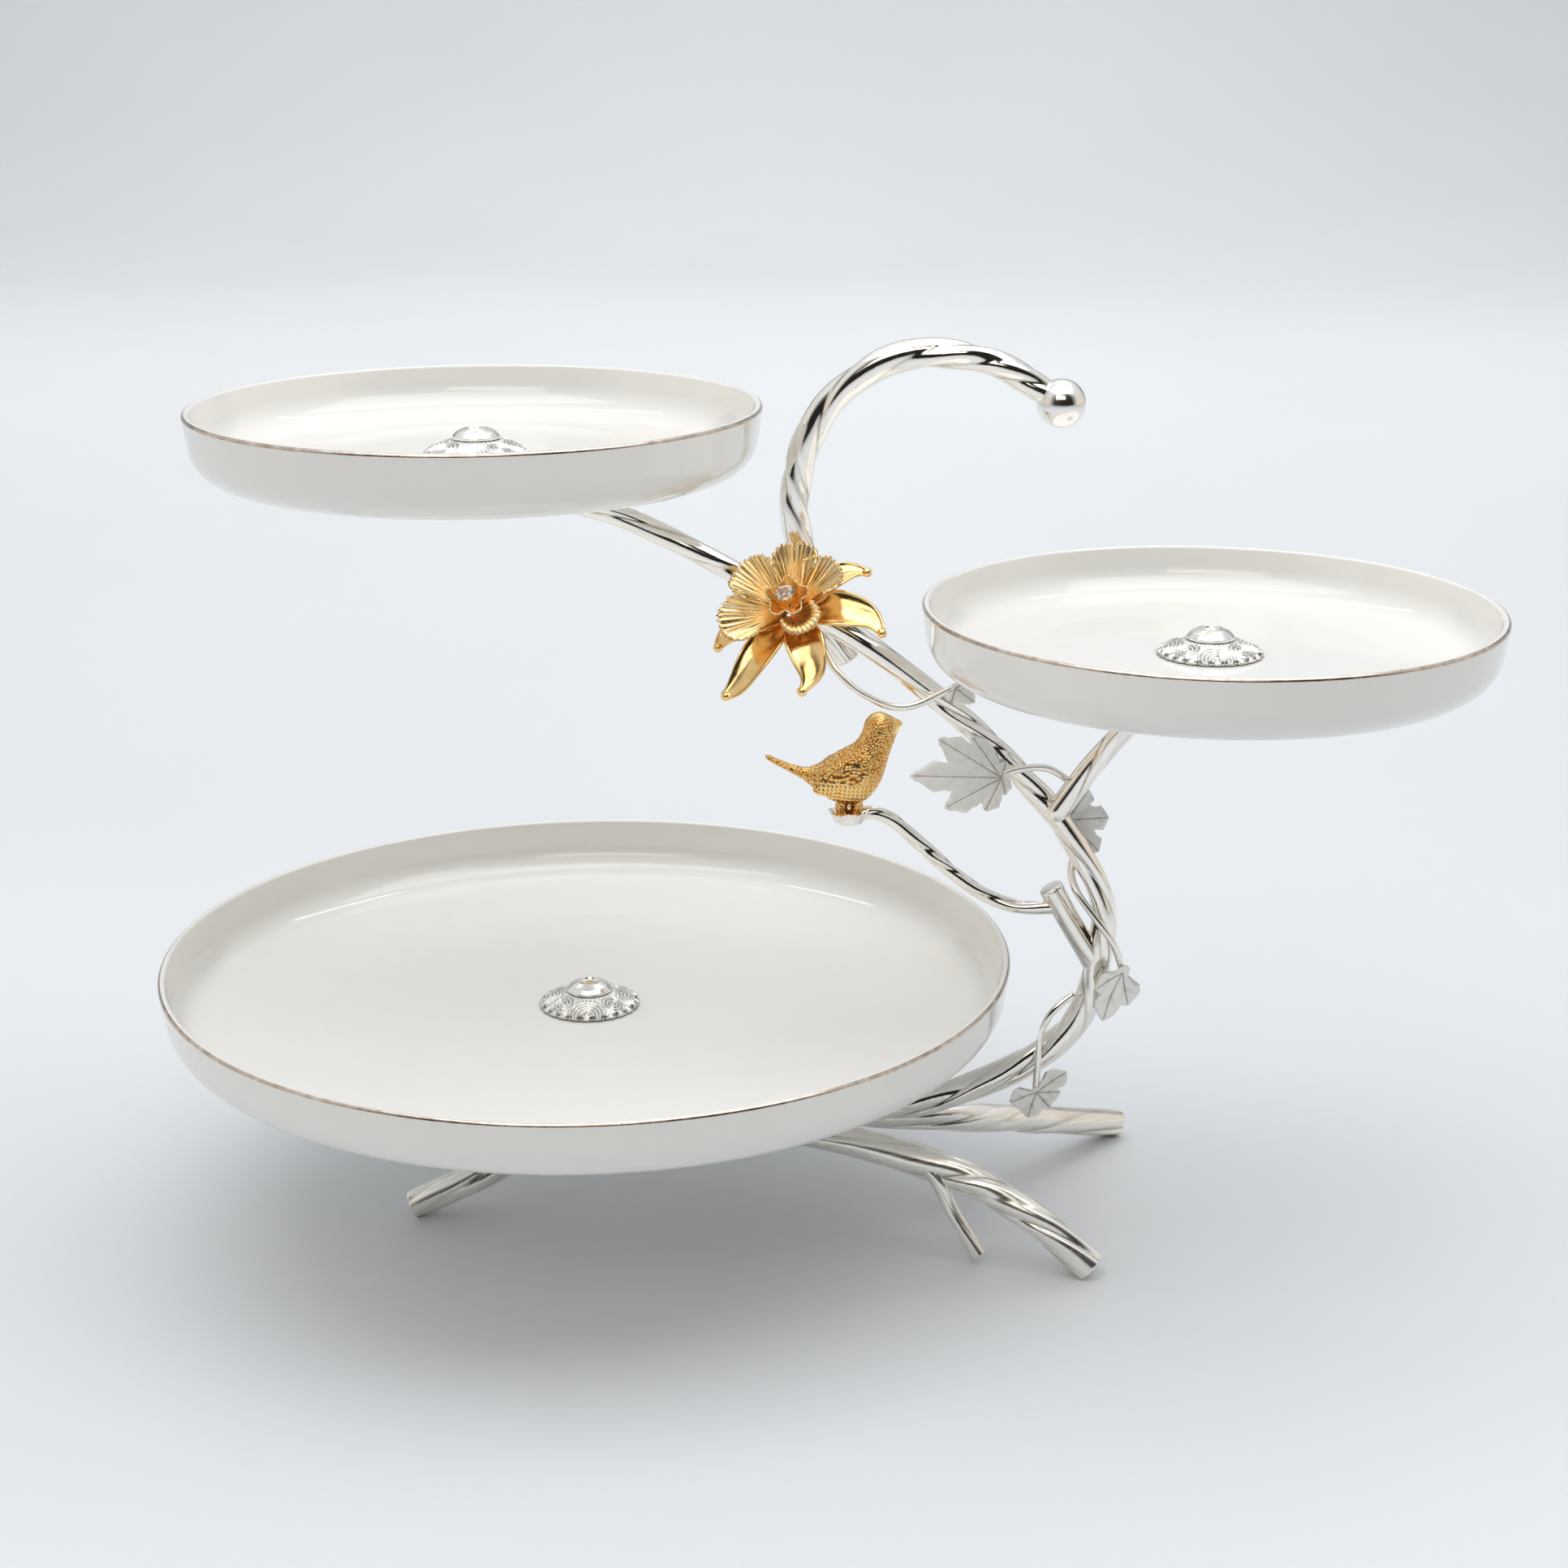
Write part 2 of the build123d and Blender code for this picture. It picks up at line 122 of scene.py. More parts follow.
# ---- material helpers ----
class Look:
    """A node material and the few node patterns that this scene uses."""

    def __init__(self, name, **values):
        self.material = bpy.data.materials.new(name)
        self.material.use_nodes = True
        self.tree = self.material.node_tree
        self.shader = self.tree.nodes["Principled BSDF"]
        for socket, value in values.items():
            self.shader.inputs[socket.replace("_", " ")].default_value = value

    def node(self, kind, **settings):
        made = self.tree.nodes.new(kind)
        for key, value in settings.items():
            setattr(made, key, value)
        return made

    def link(self, source, target):
        self.tree.links.new(source, target)
        return target

    def place(self):
        """Object-space position, in metres."""
        return self.node("ShaderNodeTexCoord").outputs["Object"]

    def attribute(self, name, output="Vector"):
        return self.node("ShaderNodeAttribute", attribute_name=name).outputs[output]

    def noise(self, vector, scale, detail=4.0, roughness=0.55):
        made = self.node("ShaderNodeTexNoise")
        made.inputs["Scale"].default_value = scale
        made.inputs["Detail"].default_value = detail
        made.inputs["Roughness"].default_value = roughness
        self.link(vector, made.inputs["Vector"])
        return made.outputs["Fac"]

    def cells(self, vector, scale):
        made = self.node("ShaderNodeTexVoronoi")
        made.inputs["Scale"].default_value = scale
        self.link(vector, made.inputs["Vector"])
        return made.outputs["Distance"]

    def ramp(self, value, *stops):
        made = self.node("ShaderNodeValToRGB")
        elements = made.color_ramp.elements
        while len(elements) < len(stops):
            elements.new(0.5)
        for element, (position, colour) in zip(elements, stops):
            element.position = position
            element.color = (*colour, 1)
        self.link(value, made.inputs["Fac"])
        return made.outputs["Color"]

    def spread(self, value, low, high, from_low=0.3, from_high=0.7):
        made = self.node("ShaderNodeMapRange")
        for socket, number in zip(("From Min", "From Max", "To Min", "To Max"),
                                  (from_low, from_high, low, high)):
            made.inputs[socket].default_value = number
        self.link(value, made.inputs["Value"])
        return made.outputs["Result"]

    def maths(self, operation, first, second):
        made = self.node("ShaderNodeMath", operation=operation)
        for socket, value in zip(made.inputs, (first, second)):
            if isinstance(value, (int, float)):
                socket.default_value = value
            else:
                self.link(value, socket)
        return made.outputs["Value"]

    def bump(self, height, strength, distance, below=None):
        made = self.node("ShaderNodeBump")
        made.inputs["Strength"].default_value = strength
        made.inputs["Distance"].default_value = distance
        self.link(height, made.inputs["Height"])
        if below is not None:
            self.link(below, made.inputs["Normal"])
        return made.outputs["Normal"]

    def use(self, socket, source):
        self.link(source, self.shader.inputs[socket])


def porcelain_look():
    look = Look("porcelain", Roughness=0.12, Coat_Weight=0.5, Coat_Roughness=0.03, IOR=1.5)
    place = look.place()
    cloud = look.noise(place, 9, 3)
    look.use("Base Color", look.ramp(cloud, (0.3, (0.865, 0.855, 0.82)), (0.7, (0.885, 0.875, 0.845))))
    look.use("Roughness", look.spread(look.noise(place, 60), 0.09, 0.17))
    ripple = look.bump(look.noise(place, 45, 2), 0.05, 0.0004)
    look.use("Normal", look.bump(look.noise(place, 1400, 2), 0.03, 0.00005, ripple))
    return look.material


def platinum_look():
    look = Look("platinum_lip", Metallic=1.0)
    place = look.place()
    worn = look.noise(place, 220, 5)
    look.use("Base Color", look.ramp(worn, (0.3, (0.46, 0.38, 0.32)), (0.65, (0.72, 0.64, 0.57))))
    look.use("Roughness", look.spread(worn, 0.16, 0.3))
    look.use("Normal", look.bump(look.noise(place, 900, 3), 0.12, 0.0001))
    return look.material


def bark_look(name, bright, shade, patina, smooth, rough, streak):
    """Silver plate over cast bark: streaks run along the strands and the grooves stay darker."""
    look = Look(name, Metallic=1.0)
    grain = look.attribute("grain")
    groove = look.attribute("groove", "Fac")
    streaks = look.noise(grain, 1.6, 6, 0.6)
    blotch = look.noise(look.place(), 90, 4)
    metal = look.ramp(streaks, (0.32, shade), (0.6, bright))
    stain = look.maths("MULTIPLY", groove, look.spread(blotch, 0.35, 1.0, 0.35, 0.6))
    mix = look.node("ShaderNodeMix", data_type="RGBA")
    look.link(stain, mix.inputs["Factor"])
    look.link(metal, mix.inputs["A"])
    look.link(look.ramp(blotch, (0.35, patina), (0.7, tuple(1.6 * c for c in patina))), mix.inputs["B"])
    look.use("Base Color", mix.outputs["Result"])
    look.use("Roughness", look.spread(look.maths("ADD", streaks, stain), smooth, rough, 0.3, 0.9))
    wood = look.bump(streaks, streak, 0.0005)
    look.use("Normal", look.bump(look.noise(look.place(), 1500, 3), 0.06, 0.0001, wood))
    return look.material


def metal_look(name, low, high, smooth, rough, scale, relief, depth):
    """Cast and plated metal with uneven colour, gloss and a fine pitted skin."""
    look = Look(name, Metallic=1.0)
    place = look.place()
    cloud = look.noise(place, scale, 5)
    look.use("Base Color", look.ramp(cloud, (0.3, low), (0.66, high)))
    look.use("Roughness", look.spread(look.noise(place, scale * 2.7), smooth, rough))
    look.use("Normal", look.bump(look.noise(place, scale * 7, 3), relief, depth))
    return look.material


def relief_look(name, low, high, hollow_shade, smooth, rough, metallic=1.0):
    """Metal whose hollows, marked by the mesh's groove attribute, get a darker colour: painted shade."""
    look = Look(name, Metallic=metallic)
    place = look.place()
    groove = look.attribute("groove", "Fac")
    cloud = look.noise(place, 260, 5)
    # painted shade: the groove mark turns the colour towards the darker hollow colour
    mix = look.node("ShaderNodeMix", data_type="RGBA")
    look.link(groove, mix.inputs["Factor"])
    look.link(look.ramp(cloud, (0.3, low), (0.66, high)), mix.inputs["A"])
    look.link(look.ramp(cloud, (0.3, hollow_shade), (0.8, tuple(1.3 * c for c in hollow_shade))), mix.inputs["B"])
    look.use("Base Color", mix.outputs["Result"])
    look.use("Roughness", look.spread(look.noise(place, 700), smooth, rough))
    look.use("Normal", look.bump(look.noise(place, 2400, 3), 0.1, 0.0001))
    return look.material


def rubber_look():
    look = Look("rubber")
    place = look.place()
    cloud = look.noise(place, 300)
    look.use("Base Color", look.ramp(cloud, (0.3, (0.02, 0.02, 0.021)), (0.7, (0.05, 0.05, 0.05))))
    look.use("Roughness", look.spread(look.noise(place, 500), 0.5, 0.75))
    look.use("Normal", look.bump(look.cells(place, 1800), 0.2, 0.0001))
    return look.material


def clear_look(name, tint, index, smooth, rough):
    look = Look(name, Transmission_Weight=0.95, IOR=index)
    place = look.place()
    cloud = look.noise(place, 400)
    look.use("Base Color", look.ramp(cloud, (0.3, tint), (0.7, (1.0, 1.0, 1.0))))
    look.use("Roughness", look.spread(cloud, smooth, rough))
    return look.material


def floor_look():
    look = Look("floor")
    place = look.place()
    cloud = look.noise(place, 1.3, 3)
    look.use("Base Color", look.ramp(cloud, (0.3, (0.71, 0.735, 0.765)), (0.7, (0.74, 0.765, 0.795))))
    look.use("Roughness", look.spread(look.noise(place, 3), 0.5, 0.62))
    return look.material


PORCELAIN = porcelain_look()
PLATINUM = platinum_look()
SILVER = bark_look("silver_bark", (0.96, 0.935, 0.89), (0.85, 0.81, 0.75), (0.14, 0.11, 0.08),
                   0.05, 0.15, 0.05)
SATIN = bark_look("satin_bark", (0.95, 0.925, 0.87), (0.83, 0.795, 0.73), (0.30, 0.27, 0.22),
                  0.20, 0.34, 0.06)
POLISHED = metal_look("polished_silver", (0.86, 0.845, 0.82), (0.95, 0.94, 0.92),
                      0.10, 0.2, 90, 0.05, 0.0001)
SEAT_METAL = metal_look("turned_silver", (0.70, 0.69, 0.67), (0.85, 0.84, 0.82),
                        0.18, 0.32, 150, 0.1, 0.0001)
LEAF_METAL = relief_look("leaf_silver", (0.93, 0.92, 0.88), (1.0, 0.99, 0.96), (0.34, 0.31, 0.26),
                         0.36, 0.5, 0.25)
TRIM = relief_look("rosette_silver", (0.74, 0.73, 0.70), (0.86, 0.85, 0.82), (0.17, 0.155, 0.135),
                   0.22, 0.36)
NUT_METAL = metal_look("nut_silver", (0.78, 0.77, 0.755), (0.92, 0.915, 0.90),
                       0.12, 0.24, 180, 0.06, 0.0001)
GOLD = relief_look("polished_gold", (0.98, 0.61, 0.22), (1.0, 0.75, 0.38), (0.86, 0.34, 0.05),
                   0.12, 0.22)
PETAL_GOLD = relief_look("ribbed_gold", (1.0, 0.73, 0.36), (1.0, 0.83, 0.50), (0.82, 0.38, 0.08),
                         0.22, 0.34)
BIRD_GOLD = relief_look("hammered_gold", (1.0, 0.60, 0.18), (1.0, 0.76, 0.35), (0.50, 0.20, 0.03),
                        0.18, 0.30)
BRASS = metal_look("stud_brass", (0.62, 0.46, 0.24), (0.86, 0.72, 0.46),
                   0.2, 0.36, 300, 0.2, 0.0001)
RUBBER = rubber_look()
CLEAR = clear_look("clear_plastic", (0.94, 0.95, 0.95), 1.46, 0.08, 0.2)
CRYSTAL = clear_look("crystal", (0.95, 0.96, 1.0), 1.9, 0.0, 0.03)
FLOOR = floor_look()


# ---- mesh helpers ----
def unit(vectors):
    return vectors / np.maximum(np.linalg.norm(vectors, axis=-1, keepdims=True), 1e-12)


def grid_faces(rows, columns, wrap_rows=False, wrap_columns=False, start=0):
    faces = []
    for row in range(rows if wrap_rows else rows - 1):
        after = (row + 1) % rows
        for column in range(columns if wrap_columns else columns - 1):
            beside = (column + 1) % columns
            faces.append((
                start + row * columns + column, start + row * columns + beside,
                start + after * columns + beside, start + after * columns + column,
            ))
    return faces


def add_piece(name, body, verts, faces, looks, stands_for=(), face_looks=None, marks=None, smooth=True):
    """Makes one piece of the object from millimetre vertices and ties it to the frame."""
    mesh = bpy.data.meshes.new(name)
    mesh.from_pydata((np.asarray(verts, float) * MM).tolist(), [], faces)
    for mark, values in (marks or {}).items():
        values = np.asarray(values, float)
        if values.ndim == 1:
            mesh.attributes.new(mark, "FLOAT", "POINT").data.foreach_set("value", values)
        else:
            mesh.attributes.new(mark, "FLOAT_VECTOR", "POINT").data.foreach_set("vector", values.ravel())
    for look in looks:
        mesh.materials.append(look)
    if face_looks is not None:
        mesh.polygons.foreach_set("material_index", face_looks)
    work = bmesh.new()
    work.from_mesh(mesh)
    bmesh.ops.recalc_face_normals(work, faces=work.faces)
    work.to_mesh(mesh)
    work.free()
    mesh.polygons.foreach_set("use_smooth", [smooth] * len(mesh.polygons))
    mesh.update()
    piece = bpy.data.objects.new(name, mesh)
    bpy.context.scene.collection.objects.link(piece)
    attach(piece, body)
    if stands_for:
        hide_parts(*stands_for)
    return piece


def join(*solids):
    """Several (verts, faces) solids as one."""
    verts, faces, start = [], [], 0
    for points, polygons in solids:
        verts.append(np.asarray(points, float))
        faces.extend(tuple(index + start for index in polygon) for polygon in polygons)
        start += len(points)
    return np.concatenate(verts), faces


def smooth_route(points, radii):
    """The line a rod follows, straight runs joined by bends, with its radius along it."""
    corners = np.array(points, float)
    sizes = np.broadcast_to(np.asarray(radii, float), (len(corners),))
    dense, widths = [corners[0]], [sizes[0]]
    for index in range(1, len(corners) - 1):
        before, corner, after = corners[index - 1:index + 2]
        reach = 0.45 * min(np.linalg.norm(corner - before), np.linalg.norm(after - corner))
        first = corner + unit(before - corner) * reach
        last = corner + unit(after - corner) * reach
        for t in np.linspace(0, 1, 10):
            dense.append((1 - t) ** 2 * first + 2 * t * (1 - t) * corner + t * t * last)
            widths.append(sizes[index])
    dense.append(corners[-1])
    widths.append(sizes[-1])
    dense, widths = np.array(dense), np.array(widths)
    along = np.concatenate([[0], np.cumsum(np.linalg.norm(np.diff(dense, axis=0), axis=1))])
    even = np.linspace(0, along[-1], int(along[-1]) + 4)
    line = np.column_stack([np.interp(even, along, dense[:, axis]) for axis in range(3)])
    width = np.interp(even, along, widths)
    for _ in range(12):
        line[1:-1] = 0.25 * line[:-2] + 0.5 * line[1:-1] + 0.25 * line[2:]
        width[1:-1] = 0.25 * width[:-2] + 0.5 * width[1:-1] + 0.25 * width[2:]
    return even, line, width


def carried_frames(line):
    """Tangent, side and up at each point, with no twist from one point to the next."""
    tangents = unit(np.gradient(line, axis=0))
    side = np.cross(tangents[0], (0.31, 0.83, 0.47))
    sides = []
    for tangent in tangents:
        side = side - tangent * side.dot(tangent)
        side = side / np.linalg.norm(side)
        sides.append(side)
    sides = np.array(sides)
    return tangents, sides, np.cross(tangents, sides)


def end_scale(distance, kind, radius):
    """How much a rod's section shrinks this far from its end."""
    if kind == "round":
        near = np.clip(distance / radius, 0, 1)
        return np.sqrt(np.maximum(1 - (1 - near) ** 2, 0.0004))
    bevel = 0.14 * radius
    near = np.clip(distance / bevel, 0, 1)
    return 0.90 + 0.10 * np.sqrt(1 - (1 - near) ** 2)


def strand_section(angle, along, strands, pitch, depth, seed):
    """Outline of round strands twisted side by side: 1 on each crest, less in the grooves."""
    half = np.pi / strands
    turned = angle + 2 * np.pi * along / pitch + 0.45 * np.sin(along / 17.0 + seed)
    turned = turned + 0.35 * np.sin(turned + seed * 2.1) + 0.12 * np.sin(2 * turned - along / 31.0)
    place = np.mod(turned, 2 * half) - half
    skewed = place + 0.22 * half * (1 - (place / half) ** 2)
    fade = 0.66 + 0.34 * np.sin(along / 13.0 + turned + seed)
    offset = depth * fade
    outline = offset * np.cos(skewed) + np.sqrt((1 - offset) ** 2 - (offset * np.sin(skewed)) ** 2)
    groove = fade * np.exp(-((half - np.abs(place)) / 0.09) ** 2)
    return outline, groove, turned


def tube(points, radii, columns=56, step=0.9, strands=3, pitch=85.0, depth=0.36, seed=0.0,
         start="flat", end="flat", flatten=1.0):
    """A rod with twisted bark relief cut into it, closed at both ends."""
    along, line, width = smooth_route(points, radii)
    length = along[-1]
    near_end = np.array([0, 0.06, 0.15, 0.3, 0.5, 0.75, 1.1, 1.6, 2.2, 3.0])
    inner = np.linspace(3.8, length - 3.8, max(4, int(length / step)))
    places = np.concatenate([near_end, inner, length - near_end[::-1]])
    places = places[np.concatenate([[True], np.diff(places) > 1e-6])]
    places = np.clip(np.sort(places), 0, length)
    centres = np.column_stack([np.interp(places, along, line[:, axis]) for axis in range(3)])
    sizes = np.interp(places, along, width)
    _, sides, ups = carried_frames(centres)
    angles = np.linspace(0, 2 * np.pi, columns, endpoint=False)
    relief, groove, turned = strand_section(
        angles[None, :], places[:, None], max(strands, 1), pitch, depth, seed)
    swell = 1 + 0.02 * np.sin(places / 9.0 + seed * 3)
    ends = end_scale(places, start, width[0]) * end_scale(length - places, end, width[-1])
    relief = relief if strands else np.ones_like(relief)
    radius = (sizes * swell * ends)[:, None] * relief
    ring = (
        centres[:, None, :]
        + (radius * np.cos(angles))[..., None] * sides[:, None, :]
        + (radius * flatten * np.sin(angles))[..., None] * ups[:, None, :]
    )
    rows = len(places)
    verts = np.concatenate([ring.reshape(-1, 3), centres[:1], centres[-1:]])
    faces = grid_faces(rows, columns, wrap_columns=True)
    first, last = rows * columns, rows * columns + 1
    for column in range(columns):
        beside = (column + 1) % columns
        faces.append((first, beside, column))
        faces.append((last, (rows - 1) * columns + column, (rows - 1) * columns + beside))
    grain = np.stack([np.broadcast_to(places[:, None] * 0.05, turned.shape),
                      sizes[:, None] * np.cos(turned), sizes[:, None] * np.sin(turned)], axis=-1)
    marks = {
        "groove": np.concatenate([(groove if strands else groove * 0).ravel(), [0, 0]]),
        "grain": np.concatenate([grain.reshape(-1, 3), [[0, 0, 0], [places[-1] * 0.05, 0, 0]]]),
    }
    return verts, faces, marks


def rod_piece(name, points, radii, look, slot, stands_for=None, on_table=False, **shape):
    verts, faces, marks = tube(points, radii, **shape)
    if on_table:
        verts[:, 2] = np.maximum(verts[:, 2], 0)
    return add_piece(name, "frame", verts, faces, [look], stands_for or (name,), marks=marks)


def rounded_profile(corners, steps):
    """A closed (radius, height) outline from (radius, height, bend radius) corners."""
    outline = []
    count = len(corners)
    for index, (radius, height, bend) in enumerate(corners):
        corner = np.array([radius, height])
        before = np.array(corners[index - 1][:2])
        after = np.array(corners[(index + 1) % count][:2])
        if bend == 0:
            outline.append(corner)
            continue
        inward, outward = unit(before - corner), unit(after - corner)
        half = math.acos(max(-1, min(1, float(inward.dot(outward))))) / 2
        centre = corner + unit(inward + outward) * (bend / math.sin(half))
        begin = corner + inward * (bend / math.tan(half))
        finish = corner + outward * (bend / math.tan(half))
        low = math.atan2(*(begin - centre)[::-1])
        turn = (math.atan2(*(finish - centre)[::-1]) - low + math.pi) % (2 * math.pi) - math.pi
        for angle in low + turn * np.linspace(0, 1, steps):
            outline.append(centre + bend * np.array([math.cos(angle), math.sin(angle)]))
    return np.array(outline)


def supported(outline, room=0.6):
    """Adds rings just inside the ends of long runs, so that shading stays crisp."""
    points = []
    for index, point in enumerate(outline):
        after = outline[(index + 1) % len(outline)]
        run = np.linalg.norm(after - point)
        points.append(point)
        if run > 3 * room:
            points.append(point + (after - point) * room / run)
            points.append(after - (after - point) * room / run)
    return np.array(points)


def lathe(centre, base, outline, segments):
    """Turns a closed outline round a vertical axis."""
    angles = np.linspace(0, 2 * np.pi, segments, endpoint=False)
    verts = np.stack([
        centre[0] + outline[:, 0][:, None] * np.cos(angles),
        centre[1] + outline[:, 0][:, None] * np.sin(angles),
        np.broadcast_to(base + outline[:, 1][:, None], (len(outline), segments)),
    ], axis=-1)
    return verts.reshape(-1, 3), grid_faces(len(outline), segments, True, True)


def sheet_solid(surface, thickness, wrap=False):
    """A grid of points made into a closed sheet. With wrap, each row is a closed ring."""
    rows, columns = surface.shape[:2]
    down = np.gradient(surface, axis=0)
    if wrap:
        across = (np.roll(surface, -1, axis=1) - np.roll(surface, 1, axis=1)) / 2
    else:
        across = np.gradient(surface, axis=1)
    normal = unit(np.cross(down, across))
    back = surface - normal * thickness
    verts = np.concatenate([surface.reshape(-1, 3), back.reshape(-1, 3)])
    count = rows * columns
    faces = grid_faces(rows, columns, wrap_columns=wrap)
    faces += [tuple(reversed(face)) for face in grid_faces(rows, columns, wrap_columns=wrap, start=count)]
    spans = range(columns if wrap else columns - 1)
    for row in (0, rows - 1):
        for column in spans:
            here, beside = row * columns + column, row * columns + (column + 1) % columns
            faces.append((here, here + count, beside + count, beside))
    if not wrap:
        for column in (0, columns - 1):
            for row in range(rows - 1):
                here, below = row * columns + column, (row + 1) * columns + column
                faces.append((here, below, below + count, here + count))
    return verts, faces


def plane_axes(x_dir, normal):
    """Right-handed unit axes of a plane, as the part's source makes them."""
    up = unit(np.array(normal, float))
    y_axis = unit(np.cross(up, x_dir))
    return np.cross(y_axis, up), y_axis, up


def set_in_plane(local, origin, axes):
    return np.array(origin, float) + local @ np.array(axes)


def blob(centre, radii, tilt=0.0, rows=20, columns=32):
    """A closed ellipsoid turned by tilt degrees in the XZ plane."""
    theta = np.linspace(0.02, np.pi - 0.02, rows)[:, None]
    phi = np.linspace(0, 2 * np.pi, columns, endpoint=False)
    local = np.stack([
        radii[0] * np.cos(theta) * np.ones_like(phi), radii[1] * np.sin(theta) * np.cos(phi),
        radii[2] * np.sin(theta) * np.sin(phi),
    ], axis=-1).reshape(-1, 3)
    turn = math.radians(tilt)
    spun = np.column_stack([
        local[:, 0] * math.cos(turn) - local[:, 2] * math.sin(turn), local[:, 1],
        local[:, 0] * math.sin(turn) + local[:, 2] * math.cos(turn),
    ])
    faces = grid_faces(rows, columns, wrap_columns=True)
    faces += [tuple(range(columns)), tuple(range((rows - 1) * columns, rows * columns))]
    return spun + np.array(centre, float), faces


# ---- rods ----
rod_piece("trunk", TRUNK, TRUNK_RADII, SILVER, "silver", ("trunk_lower", "trunk_middle", "trunk_upper"),
          columns=72, step=0.8, strands=3, pitch=92, depth=0.38, seed=0.6)
rod_piece("handle", HANDLE, HANDLE_RADII, SILVER, "silver",
          columns=72, step=0.8, strands=3, pitch=76, depth=0.38, seed=2.0)
rod_piece("right_branch", RIGHT_BRANCH, [4.6, 4.2, 4.2, 4.2, 4.2, 4.2], SILVER, "silver",
          step=0.8, strands=3, pitch=100, depth=0.34, seed=4.0, start="round")
rod_piece("cut_twig", CUT_TWIG, [4.6, 4.5, 4.7], SILVER, "silver", strands=3, pitch=150, depth=0.22, seed=1.0)
rod_piece("bird_branch", BIRD_BRANCH, [2.8, 2.75, 2.7, 2.7, 2.7, 2.6, 2.4], SILVER, "silver",
          columns=48, step=0.7, strands=3, pitch=62, depth=0.34, seed=3.0, end="round")
rod_piece("left_leg", LEFT_LEG, [5.6, 5.7, 5.7, 5.6], SATIN, "satin_silver", on_table=True,
          strands=4, pitch=130, depth=0.40, seed=0.3)
rod_piece("front_leg", FRONT_LEG, [5.8, 5.9, 6.0, 6.0, 6.0, 6.0, 6.1], SATIN, "satin_silver", on_table=True,
          columns=72, step=0.8, strands=4, pitch=120, depth=0.46, seed=5.0)
rod_piece("back_leg", BACK_LEG, [5.6, 5.7, 5.8, 5.7, 5.7], SATIN, "satin_silver", on_table=True,
          columns=72, step=0.8, strands=4, pitch=120, depth=0.46, seed=1.7)
rod_piece("leg_twig", LEG_TWIG, [3.4, 3.1, 2.7, 2.9], SATIN, "satin_silver", on_table=True,
          columns=48, strands=3, pitch=90, depth=0.24, seed=2.4)
for index, (vine, vine_route) in enumerate(VINES.items()):
    vine_look = SILVER if vine == "hanging_vine" else SATIN
    rod_piece(vine, vine_route, 1.45, vine_look, "silver", columns=24, step=0.7, strands=2, pitch=60,
              depth=0.2, seed=float(index), start="round", end="round", flatten=0.85)

ball_verts, ball_faces = blob(BALL_CENTRE, (BALL_RADIUS,) * 3, rows=48, columns=96)
add_piece("handle_ball", "frame", ball_verts, ball_faces, [POLISHED], ("handle_ball",))


# ---- plates and their fixings ----
def plate_outline(radius, depth):
    """The plate's section from its hole outwards along the underside and back along the dish."""
    floor = PLATE_HEIGHT - depth
    foot = radius * FOOT_RATIO
    base = radius - WALL_LEAN
    return rounded_profile([
        (HOLE_RADIUS, FOOT_RING, 0.4), (foot - 3, FOOT_RING, 0.8), (foot - 2, 0, 0.5), (foot + 1, 0, 0.5),
        (foot + 3, FOOT_RING, 0.8), (base, FOOT_RING + UNDERSIDE_RISE, 14), (radius, PLATE_HEIGHT, 1.17),
        (radius - LIP_THICKNESS, PLATE_HEIGHT, 1.17), (base - LIP_THICKNESS, floor + FLOOR_RISE, 11),
        (foot, floor, 30), (HOLE_RADIUS, floor, 0.6),
    ], steps=14)


def plate_piece(tier, x, y, rim, radius, depth):
    outline = supported(plate_outline(radius, depth))
    segments = 320
    verts, faces = lathe((x, y), rim - PLATE_HEIGHT, outline, segments)
    on_lip = (outline[:, 1] > PLATE_HEIGHT - 1.2) & (outline[:, 0] > radius - 1.15)
    face_looks = []
    for ring in range(len(outline)):
        lip = on_lip[ring] and on_lip[(ring + 1) % len(outline)]
        face_looks += [1 if lip else 0] * segments
    add_piece(f"{tier}_plate", f"{tier}_plate", verts, faces, [PORCELAIN, PLATINUM],
              (f"{tier}_plate",), face_looks)


